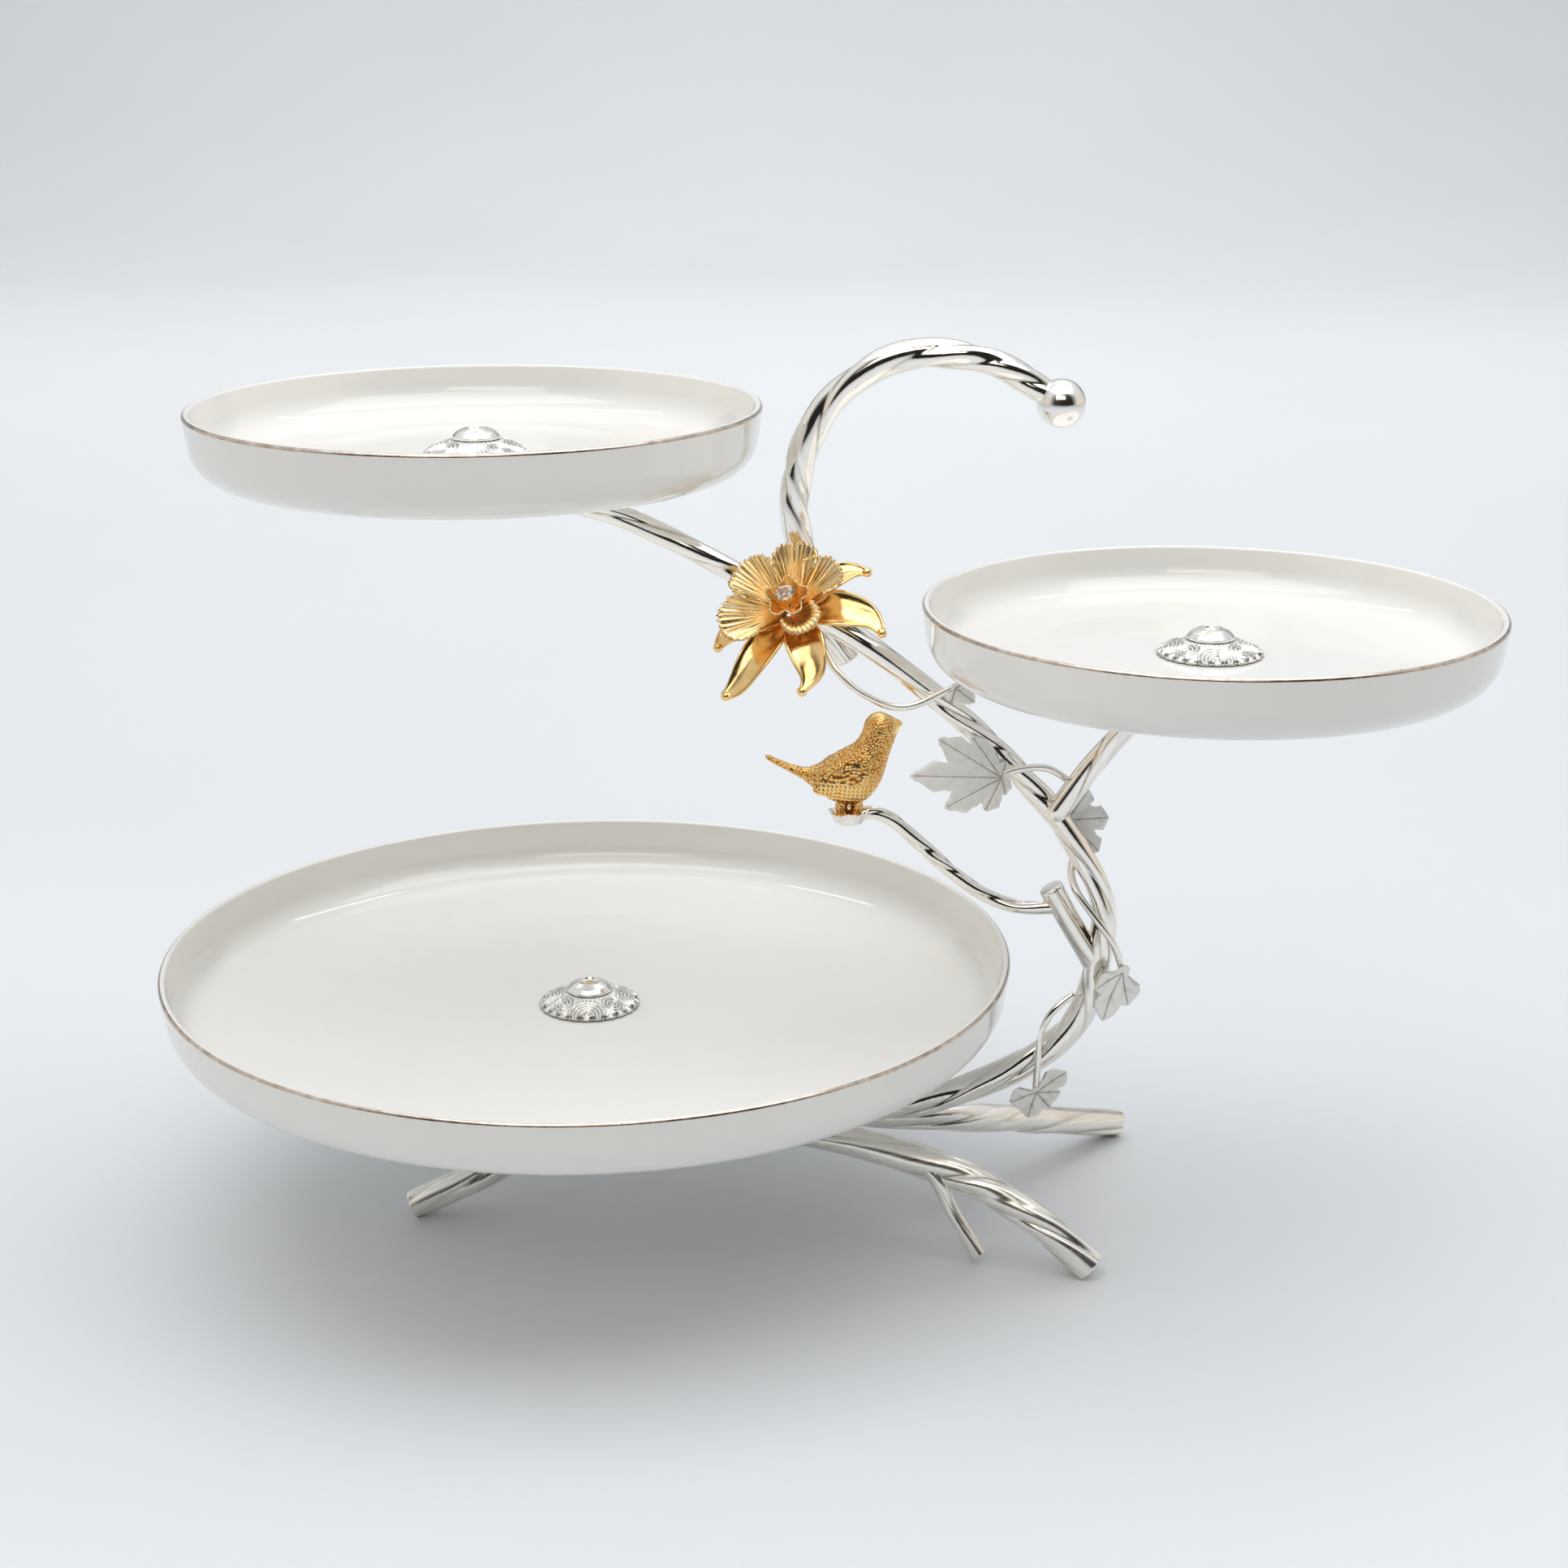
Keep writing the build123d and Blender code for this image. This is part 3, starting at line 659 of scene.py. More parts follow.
def rosette_relief(angle, radius):
    """Scrolls and shells in turn, with beads and perforations: height, and darkness that is painted shade in
    the troughs and perforations.
    """
    def near(centre_radius, offset, repeat):
        """Distances along and across from a spot repeated round the bell."""
        step = 2 * np.pi / repeat
        across = radius * (np.mod(angle - offset + step / 2, step) - step / 2)
        return across, radius - centre_radius

    across, out = near(13.2, np.pi / 4, 4)
    reach = np.hypot(across * 0.95, out)
    swirl = np.cos(2 * np.pi * reach / 1.25 - np.arctan2(across, out))
    scroll = np.clip((4.6 - reach) / 1.2, 0, 1)
    across, out = near(17.0, 0.0, 4)
    reach = np.hypot(across, out)
    arches = np.cos(2 * np.pi * reach / 1.3)
    shell = np.clip((7.6 - reach) / 1.2, 0, 1) * np.clip((reach - 1.4) / 0.6, 0, 1) * (1 - scroll)
    height = 0.34 * scroll * swirl + 0.30 * shell * arches
    # painted shade in the troughs of the scrolls and the shells' arches
    dark = 0.95 * scroll * np.clip(-swirl, 0, 1) ** 1.3 + 0.85 * shell * np.clip(-arches, 0, 1) ** 1.3
    for bead_radius, size in ((11.4, 0.55), (12.8, 0.7), (14.4, 0.85)):
        across, out = near(bead_radius, 0.0, 4)
        height = height + 0.45 * np.exp(-(across ** 2 + out ** 2) / size ** 2)
    # painted shade: the perforations are dents painted dark, not holes
    for offset in (-0.055, 0.055):
        across, out = near(16.1, offset, 4)
        eye = np.exp(-((across ** 2 + out ** 2) / 0.42 ** 2) ** 2)
        height, dark = height - 0.7 * eye, dark + eye
    # painted shade: the slots round the rim are dents painted dark
    across, out = near(17.5, 0.5 * np.pi / 12, 24)
    slot = np.exp(-((across / 1.15) ** 4 + (out / 0.55) ** 4))
    across, out = near(17.6, 0.0, 24)
    height = height + 0.35 * np.exp(-(across ** 2 + out ** 2) / 0.8) - 1.0 * slot
    # painted shade in the flute valleys
    flutes = np.exp(-((radius - 9.6) / 0.55) ** 2) * np.cos(40 * angle)
    return height + 0.12 * flutes, np.clip(dark + 1.2 * slot + 0.3 * np.clip(-flutes, 0, 1), 0, 1)


def rosette_piece(tier, x, y, floor):
    inner, outer, count = SHANK_RADIUS + 0.3, ROSETTE_RADIUS, 480
    angles = np.linspace(0, 2 * np.pi, count, endpoint=False)[None, :]
    share = np.linspace(0, 1, 64)[:, None]
    lobes = 0.5 * (1 - np.abs(np.cos(12 * angles)) ** 0.7)
    radius = 8.2 + (outer - lobes - 8.2) * share
    bell = 0.95 + 4.55 * np.clip(1 - (radius - 8.6) / (outer - 8.6), 0, 1) ** 0.9
    height, dark = rosette_relief(angles, radius)
    keep = np.clip(share * 12, 0, 1)
    top = bell + height * keep
    under = np.clip(bell - 0.95, 0.35, None)
    rings = [(np.full_like(radius[0], inner), np.full_like(radius[0], 5.45), 0 * radius[0])]
    rings += [(radius[i], np.clip(top[i], 0.6, 5.5), dark[i]) for i in range(len(radius))]
    # painted shade: the bell's underside and its inner wall carry a fixed 0.4 groove mark
    rings += [(radius[i], under[i], 0.4 + 0 * radius[i]) for i in range(len(radius) - 1, 0, -3)]
    rings += [(np.full_like(radius[0], 6.5), np.full_like(radius[0], 4.4), 0.4 + 0 * radius[0]),
              (np.full_like(radius[0], 6.5), np.full_like(radius[0], 0.95), 0.4 + 0 * radius[0]),
              (np.full_like(radius[0], inner), np.full_like(radius[0], 0.95), 0.4 + 0 * radius[0])]
    verts = np.concatenate([
        np.column_stack([x + r * np.cos(angles[0]), y + r * np.sin(angles[0]), floor + z])
        for r, z, _ in rings
    ])
    marks = {"groove": np.concatenate([mark for _, _, mark in rings])}
    node = f"{tier}_rosette"
    faces = grid_faces(len(rings), count, True, True)
    add_piece(node, node, verts, faces, [TRIM], (node,), marks=marks)


def nut_piece(tier, x, y, floor):
    """A low turned cone with a rolled foot and a wide bore that shows the stud's end."""
    outline = supported(rounded_profile([
        (BORE, SHANK_END, 0), (SHANK_RADIUS, SHANK_END, 0.2), (SHANK_RADIUS, NUT_BASE, 0),
        (8.4, NUT_BASE, 0.25), (8.4, NUT_BASE + 0.9, 0.4), (6.9, NUT_BASE + 2.5, 2.5),
        (4.6, NUT_TOP, 0.35), (3.9, NUT_TOP, 0.3), (3.5, NUT_TOP - 0.8, 0.3), (BORE, NUT_TOP - 1.0, 0),
    ], steps=6), 0.3)
    verts, faces = lathe((x, y), floor, outline, 128)
    node = f"{tier}_cap_nut"
    add_piece(node, node, verts, faces, [NUT_METAL], (node,))


for tier_name, (tier_x, tier_y, tier_rim, tier_radius, tier_depth) in TIERS.items():
    plate_piece(tier_name, tier_x, tier_y, tier_rim, tier_radius, tier_depth)
    rosette_piece(tier_name, tier_x, tier_y, tier_rim - tier_depth)
    nut_piece(tier_name, tier_x, tier_y, tier_rim - tier_depth)


# ---- leaves ----
def lobe_edge(length, width, teeth):
    """Angle and distance of a toothed lobe's edge, seen from the leaf's base."""
    place = np.linspace(0.02, 1, 220)
    half = width / 2 * np.sin(np.pi * place ** 1.7) ** 0.9
    saw = 1 - np.mod(place * teeth + 0.35, 1.0)
    half = half * (0.70 + 0.50 * saw ** 0.8 * (place > 0.2))
    half[-1] = 0.0
    return np.arctan2(half, place * length), np.hypot(half, place * length)


def leaf_reach(lobes, angles, base, teeth):
    """Distance from the leaf's base to its outline in each direction."""
    reach = np.full_like(angles, base)
    for turn, length, width in lobes:
        spread, distance = lobe_edge(length, width, teeth)
        away = np.abs((angles - math.radians(turn) + np.pi) % (2 * np.pi) - np.pi)
        inside = spread[None, :] >= away[:, None]
        far = np.where(inside, distance[None, :], 0).max(axis=1)
        reach = np.maximum(reach, far)
    return reach


LEAF_WAVE = 0.35
LEAF_THICKNESS = 0.8


def leaf_piece(name, base, x_dir, normal, lobes, teeth, cup):
    """A cupped leaf of toothed lobes with pressed veins."""
    angles = np.linspace(0, 2 * np.pi, 420, endpoint=False)
    reach = leaf_reach(lobes, angles, lobes[0][2] * 0.3, teeth)
    share = np.concatenate([[0.01, 0.05], np.linspace(0.11, 1, 36)])[:, None]
    radius = share * reach[None, :]
    flat_x, flat_y = radius * np.cos(angles), radius * np.sin(angles)
    longest = max(length for _, length, _ in lobes)
    height = cup * (radius / longest) ** 2
    vein = np.zeros_like(radius)
    crease = np.zeros_like(radius)
    for turn, length, width in lobes:
        direction = math.radians(turn)
        along = flat_x * math.cos(direction) + flat_y * math.sin(direction)
        across = -flat_x * math.sin(direction) + flat_y * math.cos(direction)
        on_lobe = (along > 0) & (along < length * 0.96)
        vein = np.maximum(vein, np.exp(-(across / 0.32) ** 2) * on_lobe)
        ribs = np.abs(np.mod((along - 0.9 * np.abs(across)) / (length / teeth), 1.0) - 0.5)
        side_vein = np.exp(-(ribs / 0.07) ** 2) * (np.abs(across) < width * 0.45) * on_lobe
        crease = np.maximum(crease, side_vein * np.exp(-(across / (width * 0.3)) ** 2) * 0.6)
    height = height - 0.42 * vein - 0.18 * crease
    height = height + LEAF_WAVE * np.sin(5 * angles + 1.3) * share ** 2
    height = height - 0.3 * np.clip((share - 0.92) / 0.08, 0, 1)
    local = np.stack([flat_x, flat_y, height + LEAF_THICKNESS / 2], axis=-1)
    axes = plane_axes(x_dir, normal)
    verts, faces = sheet_solid(set_in_plane(local, base, axes), LEAF_THICKNESS, wrap=True)
    # painted shade in the pressed veins and creases
    marks = {"groove": np.tile(np.clip(0.7 * vein + 0.4 * crease, 0, 1).ravel(), 2)}
    add_piece(name, "frame", verts, faces, [LEAF_METAL], (name,), marks=marks)


leaf_piece("maple_leaf", (67.5, -9.2, 172.5), (-1, -0.1, 0.05), (0.1, -0.95, 0.32), [
    (0, 33.5, 10), (-30, 27, 9), (-53, 18.5, 7), (29, 23.5, 9), (64, 13.5, 7), (105, 6, 5), (-105, 6, 5),
], teeth=5, cup=1.5)
leaf_piece("trunk_leaf", (93, 4.6, 152), (1, 0, 0.1), (0, -1, 0.2), [
    (0, 15, 10), (52, 14, 9), (-50, 16, 9),
], teeth=2, cup=2.5)
leaf_piece("folded_leaf", (114, -5.2, 96.5), (-0.55, 0, -1), (0.55, -1, -0.3), [
    (0, 19, 11), (42, 15, 10), (-48, 13, 9),
], teeth=1, cup=4.0)
leaf_piece("hanging_leaf", (83.5, -7.2, 49.5), (-0.35, 0, -1), (0.1, -1, -0.03), [
    (0, 10, 7.5), (-55, 10.5, 7.5), (110, 9, 6.5), (150, 14, 7.5), (60, 8, 6.5),
], teeth=1, cup=2.5)
leaf_piece("curled_leaf", (50.5, -8.6, 205.5), (1, -0.2, -0.75), (0, -1, 0.25), [
    (0, 8, 6), (70, 5.5, 4), (-70, 5, 4),
], teeth=3, cup=2.0)


# ---- flower ----
flower_axes = plane_axes(FLOWER_X, FLOWER_NORMAL)


def fan_petal(angle, length, spread, lift, roll=0.0):
    """A ribbed fan with a beaded, ruffled edge, cupped up from the flower's plane."""
    share = np.linspace(0, 1, 48)[:, None]
    across = np.linspace(-1, 1, 109)[None, :]
    edge = length * (1 - 0.40 * np.abs(across) ** 3 + 0.016 * np.cos(30 * np.pi * across))
    radius = 2.6 + (edge - 2.6) * share
    half = math.radians(spread) * (0.75 + 0.25 * share)
    turn = math.radians(angle) + across * half
    ribs = np.cos(13 * np.pi * across) * np.clip(share * 3, 0, 1)
    beads = np.clip((share - 0.94) / 0.06, 0, 1) * np.cos(30 * np.pi * across)
    height = 1.6 + lift * share ** 1.3 + 2.6 * share ** 1.5 * across ** 2
    height = height + 0.30 * ribs + 0.36 * beads + 0.45 * share ** 3 * np.sin(3 * np.pi * across + angle)
    height = height - roll * np.clip((share - 0.62) / 0.38, 0, 1) ** 2
    local = np.stack([radius * np.cos(turn), radius * np.sin(turn), height], axis=-1)
    # painted shade in the rib valleys and towards the petal's base
    groove = np.clip(-ribs, 0, 1) ** 2 * 0.5 + 0.7 * np.clip(1 - share * 2.2, 0, 1) + 0 * across
    verts, faces = sheet_solid(set_in_plane(local, FLOWER_CENTRE, flower_axes), 0.8)
    return verts, faces, np.tile(np.clip(groove, 0, 1).ravel(), 2)


SEPAL_DROOP = 5.0


def sepal(angle, length, hook, breadth):
    """A polished trough with rolled edges that narrows to a hooked tip with a drop on its end."""
    share = np.linspace(0, 1, 72)[:, None]
    across = np.linspace(-1, 1, 33)[None, :]
    width = 1.3 + 5.8 * breadth * np.sin(np.pi * share ** 0.85) ** 0.9 * (1 - 0.25 * share)
    curl = np.clip((share - 0.72) / 0.28, 0, 1)
    out = 2.5 + (length - 2.5) * (share - 0.07 * curl ** 2)
    side = across * width + hook * (1.6 * np.sin(np.pi * share * 0.9) * -1 + 4.6 * curl ** 2)
    arch = 2.6 * np.sin(np.pi * share * 0.9) - SEPAL_DROOP * share ** 1.8 + 2.6 * curl ** 2
    trough = 0.30 * width * np.abs(across) ** 2.2 * np.sin(np.pi * share) + 0.35 * np.abs(across) ** 9
    turn = math.radians(angle)
    local = np.stack([
        out * math.cos(turn) - side * math.sin(turn), out * math.sin(turn) + side * math.cos(turn),
        -0.4 + arch + trough,
    ], axis=-1)
    # painted shade towards the sepal's base, under the petals
    groove = np.clip(1 - share * 2.4, 0, 1) * 0.8 + 0 * across
    verts, faces = sheet_solid(set_in_plane(local, FLOWER_CENTRE, flower_axes), 0.9)
    tip = set_in_plane(local[-1, 16], FLOWER_CENTRE, flower_axes) - flower_axes[2] * 0.4
    bead = blob(tip, (1.75, 1.75, 1.75), rows=16, columns=24)
    verts, faces = join((verts, faces), bead)
    return verts, faces, np.concatenate([np.tile(groove.ravel(), 2), np.zeros(len(bead[0]))])


def merged_piece(name, parts, look, stands_for):
    verts, faces = join(*[(part[0], part[1]) for part in parts])
    marks = {"groove": np.concatenate([part[2] for part in parts])}
    return add_piece(name, "frame", verts, faces, [look], stands_for, marks=marks)


merged_piece("flower_sepals", [sepal(*shape) for shape in SEPALS], GOLD, ("flower_sepals",))
merged_piece("flower_petals", [fan_petal(angle, length, 33, 7.0) for angle, length in PETALS]
             + [fan_petal(*FRONT_PETAL, 50, 7.5, 3.4)], PETAL_GOLD, ("flower_petals",))


def ruffled_cup():
    """The flower's inner cup: a closed frill of five folds with a beaded edge."""
    share = np.linspace(0, 1, 30)[:, None]
    turn = np.linspace(0, 2 * np.pi, 240, endpoint=False)[None, :]
    fold = np.cos(5 * turn)
    radius = 1.2 + (5.4 + 1.1 * fold) * share ** 0.8
    height = 3.0 + 7.4 * share ** 1.5 + 0.5 * share ** 2 * np.cos(10 * turn)
    beads = np.clip((share - 0.88) / 0.12, 0, 1) * np.cos(60 * turn)
    local = np.stack([radius * np.cos(turn), radius * np.sin(turn), height + 0.22 * beads], axis=-1)
    verts, faces = sheet_solid(set_in_plane(local, FLOWER_CENTRE, flower_axes), 0.6, wrap=True)
    # painted shade deep in the cup and in thirty stripes round it, stronger towards the edge
    groove = np.clip(1 - share * 1.4, 0, 1) + 0.3 * np.clip(-np.cos(30 * turn), 0, 1) * share
    return verts, faces, np.tile(np.clip(groove, 0, 1).ravel(), 2)


def claw(turn):
    """One of the claws that hold the crystal."""
    steps = [(1.0, 4.0), (2.6, 9.0), (3.5, 11.6), (3.2, 13.2), (2.5, 13.7)]
    local = np.array([(r * math.cos(turn), r * math.sin(turn), z) for r, z in steps])
    verts, faces, marks = tube(set_in_plane(local, FLOWER_CENTRE, flower_axes), [0.6, 0.6, 0.55, 0.5, 0.4],
                               columns=14, step=0.6, strands=0, start="round", end="round")
    return verts, faces, marks["groove"]


merged_piece("flower_cup", [ruffled_cup()] + [claw(turn) for turn in (0.5, 2.1, 3.7, 5.3)], PETAL_GOLD,
             ("flower_cup",))


def cut_crystal():
    """An oval brilliant: table, two crown rows, girdle and pavilion, flat-shaded."""
    sides = 12
    rings = [(0.0, -2.2, 0), (1.6, -1.2, 0.5), (3.1, 0.0, 0), (3.1, 0.3, 0), (2.5, 1.1, 0.5), (1.7, 1.6, 0)]
    points, faces = [], []
    for radius, height, offset in rings:
        for index in range(sides):
            turn = 2 * np.pi * (index + offset) / sides
            reach = max(radius, 0.05)
            across, along = reach * 1.12 * math.cos(turn), reach * 0.9 * math.sin(turn)
            points.append((across, along, CRYSTAL_HEIGHT + height))
    faces += grid_faces(len(rings), sides, wrap_columns=True)
    faces.append(tuple(range((len(rings) - 1) * sides, len(rings) * sides)))
    faces.append(tuple(range(sides)))
    verts = set_in_plane(np.array(points), FLOWER_CENTRE, flower_axes)
    add_piece("crystal", "frame", verts, faces, [CRYSTAL], ("crystal",), smooth=False)


cut_crystal()


# ---- bird ----
def remeshed(verts, faces, voxel, rounds):
    """Overlapping solids fused into one skin and smoothed."""
    mesh = bpy.data.meshes.new("fused")
    mesh.from_pydata((verts * MM).tolist(), [], faces)
    work = bmesh.new()
    work.from_mesh(mesh)
    bmesh.ops.recalc_face_normals(work, faces=work.faces)
    work.to_mesh(mesh)
    work.free()
    holder = bpy.data.objects.new("fused", mesh)
    bpy.context.scene.collection.objects.link(holder)
    fuse = holder.modifiers.new("fuse", "REMESH")
    fuse.mode = "VOXEL"
    fuse.voxel_size = voxel * MM
    soften = holder.modifiers.new("soften", "SMOOTH")
    soften.factor = 0.5
    soften.iterations = rounds
    result = bpy.data.meshes.new_from_object(holder.evaluated_get(bpy.context.evaluated_depsgraph_get()))
    points = np.empty(len(result.vertices) * 3)
    result.vertices.foreach_get("co", points)
    normals = np.empty(len(result.vertices) * 3)
    result.vertices.foreach_get("normal", normals)
    polygons = [tuple(polygon.vertices) for polygon in result.polygons]
    bpy.data.objects.remove(holder)
    bpy.data.meshes.remove(mesh)
    bpy.data.meshes.remove(result)
    return points.reshape(-1, 3) / MM, normals.reshape(-1, 3), polygons


def pebbles(points, spacing, seed):
    """Rounded bumps, close-packed at about this spacing: 1 on each crest, 0 between them."""
    order = np.random.default_rng(seed).permutation(len(points))
    cells, centres = {}, []
    for index in order:
        point = points[index]
        key = tuple((point // spacing).astype(int))
        near = [cells.get((key[0] + i, key[1] + j, key[2] + k))
                for i in (-1, 0, 1) for j in (-1, 0, 1) for k in (-1, 0, 1)]
        if all(other is None or np.linalg.norm(points[other] - point) > spacing for other in near):
            if key not in cells:
                cells[key] = index
                centres.append(index)
    tree = KDTree(len(centres))
    for index in centres:
        tree.insert(Vector(points[index]), index)
    tree.balance()
    distance = np.array([tree.find(Vector(point))[2] for point in points])
    return np.clip(1 - (distance / (spacing * 0.72)) ** 2, 0, 1)


BIRD_SECTIONS = [            # upper point x, z; lower point x, z; half width
    (-17.2, 178.2, -16.6, 176.8, 1.2), (-16.2, 178.6, -15.6, 175.9, 1.9), (-9.7, 175.6, -10.0, 172.8, 2.1),
    (-2.1, 173.3, -3.6, 169.3, 2.9), (2.6, 175.3, 0.1, 166.1, 5.2), (7.6, 178.6, 5.3, 161.9, 8.0),
    (11.9, 181.1, 13.0, 159.6, 9.6), (14.3, 182.3, 19.7, 161.5, 9.8), (15.7, 183.5, 24.0, 166.7, 9.0),
    (16.9, 185.2, 26.2, 172.4, 7.6), (17.9, 187.6, 27.6, 178.3, 6.3), (18.6, 191.0, 29.6, 184.0, 6.2),
    (20.9, 193.6, 30.6, 186.9, 5.6), (24.2, 194.6, 31.0, 188.2, 4.4), (28.2, 192.8, 31.6, 188.9, 2.4),
    (31.9, 190.9, 32.4, 189.6, 0.7),
]


def bird_body():
    """A skin over the sections, which run from the tail's tip round the breast to the beak."""
    sections = np.array(BIRD_SECTIONS)
    spots = np.arange(len(sections))
    fine = np.linspace(0, len(sections) - 1, 150)
    shape = np.column_stack([np.interp(fine, spots, sections[:, column]) for column in range(5)])
    for _ in range(10):
        shape[1:-1] = 0.25 * shape[:-2] + 0.5 * shape[1:-1] + 0.25 * shape[2:]
    phi = np.linspace(0, 2 * np.pi, 72, endpoint=False)[None, :]
    middle_x, middle_z = (shape[:, 0] + shape[:, 2]) / 2, (shape[:, 1] + shape[:, 3]) / 2
    reach_x, reach_z = (shape[:, 0] - shape[:, 2]) / 2, (shape[:, 1] - shape[:, 3]) / 2
    verts = np.stack([
        middle_x[:, None] + reach_x[:, None] * np.cos(phi), shape[:, 4][:, None] * np.sin(phi),
        middle_z[:, None] + reach_z[:, None] * np.cos(phi),
    ], axis=-1).reshape(-1, 3)
    faces = grid_faces(150, 72, wrap_columns=True) + [tuple(range(72)), tuple(range(149 * 72, 150 * 72))]
    return verts, faces


def bird_piece():
    """A small perched bird: body, folded wings, legs and feet fused, with a hammered skin."""
    solids = [
        bird_body(),
        blob((10.5, 0, 158.8), (2.3, 3.4, 4.8)), blob((16.2, 0, 158.8), (2.3, 3.4, 4.8)),
        blob((13.4, 0, 156.6), (5.0, 3.6, 0.9)),
    ]
    for side in (-1, 1):
        verts, faces = blob((10.6, 0, 172.6), (12.0, 1.8, 5.2), 28)
        solids.append((verts + np.array([0, side * 8.0, 0]), faces))
    points, normals, faces = remeshed(*join(*solids), 0.34, 5)
    x, y, z = points.T
    row_place = z + 0.10 * (x - 14)
    lattice = np.clip((170.5 - row_place) / 1.5, 0, 1) * (x > 2) * (z > 160.5)
    rows = np.mod(row_place / 1.75, 1.0)
    shifted = (x + 0.35 * z) / 1.5 + 0.5 * np.floor(row_place / 1.75)
    dimples = (np.sin(np.pi * rows) ** 1.5) * np.clip(0.5 + np.sin(2 * np.pi * shifted), 0, 1)
    fine, coarse = pebbles(points, 0.85, 3), pebbles(points, 1.25, 8)
    wing = np.clip(1.6 * (1 - (((x - 11) / 11) ** 2 + ((z - 173) / 6.0) ** 2)), 0, 1)
    bumps = fine * (1 - wing) + coarse * wing
    crown = np.exp(-(((x - 24) / 3.0) ** 2 + ((z - 193.6) / 1.6) ** 2))
    beak = np.clip((x - 28.4) / 1.2, 0, 1) * (z > 187)
    plain = np.clip(crown + beak, 0, 1)
    pebbled = (1 - lattice) * (1 - plain)
    eye = np.exp(-(((x - 26.0) ** 2 + (z - 190.2) ** 2) / 0.8)) * (np.abs(y) > 2)
    height = 0.36 * (bumps - 1) * pebbled - 0.42 * dimples * lattice + 0.35 * eye
    # a painted shadow in the gap between the legs, under the body
    leg_gap_shadow = (z < 161.5) & (np.abs(x - 13.4) < 1.5)
    # painted shade between the pebbles and in the lattice dimples, and the painted shadow between the legs
    groove = np.clip((1 - bumps) ** 1.3 * pebbled + 0.9 * dimples * lattice + 0.9 * leg_gap_shadow, 0, 1)
    verts = points + normals * height[:, None]
    verts[:, 2] = np.maximum(verts[:, 2], BIRD_FOOT)
    add_piece("bird", "frame", verts, faces, [BIRD_GOLD], ("bird",), marks={"groove": groove})


bird_piece()


def bird_seat_piece():
    """The little flared, uneven cup that the bird is soldered into."""
    outline = rounded_profile([
        (0.3, 0.0, 0), (4.8, 0.0, 1.4), (6.2, 3.0, 2.0), (7.4, 4.7, 0.35), (6.6, 5.0, 0.35), (5.3, 3.5, 0.8),
        (0.3, 3.3, 0),
    ], steps=6)
    verts, faces = lathe((BIRD_X, 0), BIRD_FOOT - 3.4, outline, 96)
    angles = np.arctan2(verts[:, 1], verts[:, 0] - BIRD_X)
    rise = np.clip((verts[:, 2] - (BIRD_FOOT - 3.4)) / 3.4, 0, 1)
    sway = 1 + 0.05 * rise * np.sin(5 * angles + 0.6) + 0.03 * rise * np.sin(9 * angles)
    verts[:, 0] = BIRD_X + (verts[:, 0] - BIRD_X) * sway * 1.04
    verts[:, 1] = verts[:, 1] * sway
    verts[:, 2] += 0.35 * rise * np.sin(4 * angles + 1.0)
    add_piece("bird_seat", "frame", verts, faces, [POLISHED], ("bird_seat",))


bird_seat_piece()

# ---- CAD nodes that keep their own shape ----
KEPT = {"seat": SEAT_METAL, "stud": BRASS, "rubber_washer": RUBBER, "clear_washer": CLEAR}
for tier_name in TIERS:
    for kind, kept_look in KEPT.items():
        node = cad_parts[f"{tier_name}_{kind}"]
        node.data.materials.clear()
        node.data.materials.append(kept_look)
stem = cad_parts["flower_stem"]
stem.data.materials.clear()
stem.data.materials.append(SEAT_METAL)


# ---- floor, light and camera ----
def floor_sweep():
    """A pale floor that curves up into a backdrop well behind the stand."""
    begin, turn_start, bend, top = -4.0, 3.2, 1.6, 3.0
    path = [(begin, 0.0), (-1.0, 0.0), (1.5, 0.0), (turn_start, 0.0)]
    for share in np.linspace(0.05, 1, 20):
        angle = share * np.pi / 2
        path.append((turn_start + bend * math.sin(angle), bend * (1 - math.cos(angle))))
    path.append((turn_start + bend, top))
    columns = [-5.0, -1.5, 0.0, 1.5, 5.0]
    verts = [(x, y, z) for y, z in path for x in columns]
    mesh = bpy.data.meshes.new("floor")
    mesh.from_pydata(verts, [], grid_faces(len(path), len(columns)))
    mesh.polygons.foreach_set("use_smooth", [True] * len(mesh.polygons))
    mesh.materials.append(FLOOR)
    floor = bpy.data.objects.new("floor", mesh)
    bpy.context.scene.collection.objects.link(floor)


def area_light(name, place, target, size, power, colour):
    data = bpy.data.lights.new(name, "AREA")
    data.shape = "RECTANGLE"
    data.size, data.size_y = size
    data.energy = power
    data.color = colour
    light = bpy.data.objects.new(name, data)
    light.location = place
    light.rotation_euler = (Vector(target) - Vector(place)).to_track_quat("-Z", "Y").to_euler()
    bpy.context.scene.collection.objects.link(light)


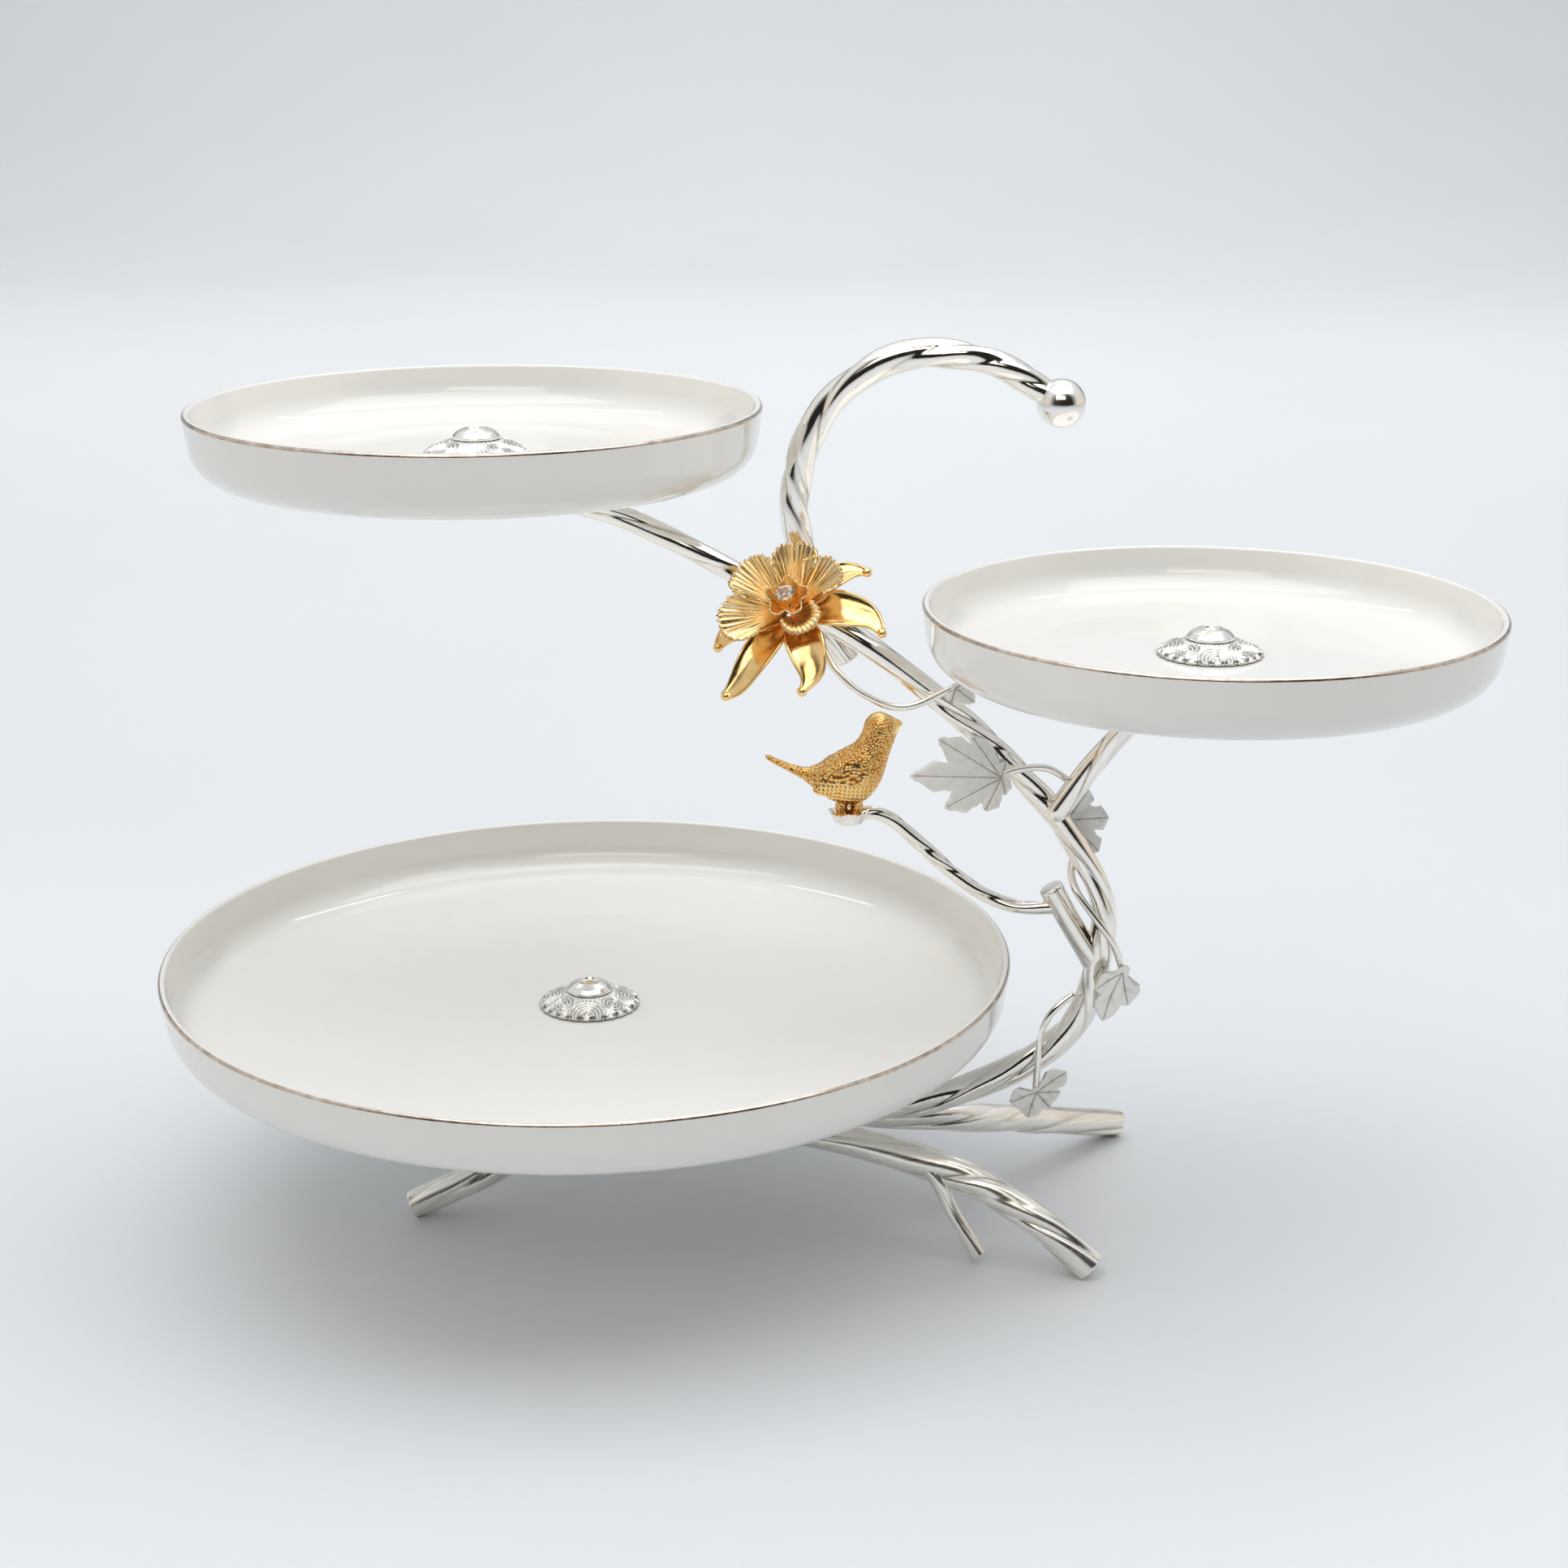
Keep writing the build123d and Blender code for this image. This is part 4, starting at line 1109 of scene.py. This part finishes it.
def studio_world():
    """A pale room, brighter above, with a dark patch in front where a photographer stands."""
    world = bpy.data.worlds.new("studio")
    bpy.context.scene.world = world
    world.use_nodes = True
    tree = world.node_tree

    def ramp(source, *stops):
        made = tree.nodes.new("ShaderNodeValToRGB")
        elements = made.color_ramp.elements
        while len(elements) < len(stops):
            elements.new(0.5)
        for element, (position, colour) in zip(elements, stops):
            element.position, element.color = position, (*colour, 1)
        tree.links.new(source, made.inputs["Fac"])
        return made.outputs["Color"]

    def mix(share, first, second):
        made = tree.nodes.new("ShaderNodeMix")
        made.data_type = "RGBA"
        tree.links.new(share, made.inputs["Factor"])
        for socket, value in (("A", first), ("B", second)):
            if isinstance(value, tuple):
                made.inputs[socket].default_value = value
            else:
                tree.links.new(value, made.inputs[socket])
        return made.outputs["Result"]

    direction = tree.nodes.new("ShaderNodeTexCoord").outputs["Generated"]
    split = tree.nodes.new("ShaderNodeSeparateXYZ")
    tree.links.new(direction, split.inputs[0])
    room = ramp(split.outputs["Z"], (0.0, (0.94, 0.83, 0.68)), (0.22, (0.86, 0.79, 0.69)),
                (0.5, (0.85, 0.86, 0.87)), (0.9, (1.0, 1.0, 1.0)))
    dot = tree.nodes.new("ShaderNodeVectorMath")
    dot.operation = "DOT_PRODUCT"
    dot.inputs[1].default_value = Vector((0.10, -1.0, 0.12)).normalized()
    tree.links.new(direction, dot.inputs[0])
    patch = ramp(dot.outputs["Value"], (0.36, (0, 0, 0)), (0.72, (1, 1, 1)))
    lit = mix(patch, room, (0.022, 0.019, 0.016, 1))
    seen = tree.nodes.new("ShaderNodeLightPath").outputs["Is Camera Ray"]
    background = tree.nodes["Background"]
    tree.links.new(mix(seen, lit, (0.70, 0.73, 0.76, 1)), background.inputs["Color"])
    background.inputs["Strength"].default_value = 0.88


def photo_camera():
    """At the photograph's place: 0.9 m in front, looking 17 degrees down."""
    data = bpy.data.cameras.new("camera")
    data.sensor_width = 36.0
    data.lens = 59.81
    data.clip_start, data.clip_end = 0.02, 30.0
    camera = bpy.data.objects.new("camera", data)
    camera.location = (-0.01025, -0.8988, 0.445)
    camera.rotation_euler = (math.radians(90 - 17.168), 0, 0)
    bpy.context.scene.collection.objects.link(camera)
    bpy.context.scene.camera = camera


floor_sweep()
studio_world()
area_light("key", (0.1, -0.25, 1.75), (0, 0.0, 0.1), (2.2, 1.7), 18.5, (0.96, 0.98, 1.0))
area_light("front_fill", (-0.2, -1.7, 1.5), (0, 0, 0.15), (1.5, 0.6), 6.5, (1.0, 0.93, 0.83))
area_light("backdrop_light", (0, 1.8, 2.6), (0, 4.3, 0.4), (3.0, 0.8), 58, (0.99, 1.0, 0.99))
photo_camera()
bpy.context.scene.view_settings.view_transform = "Standard"
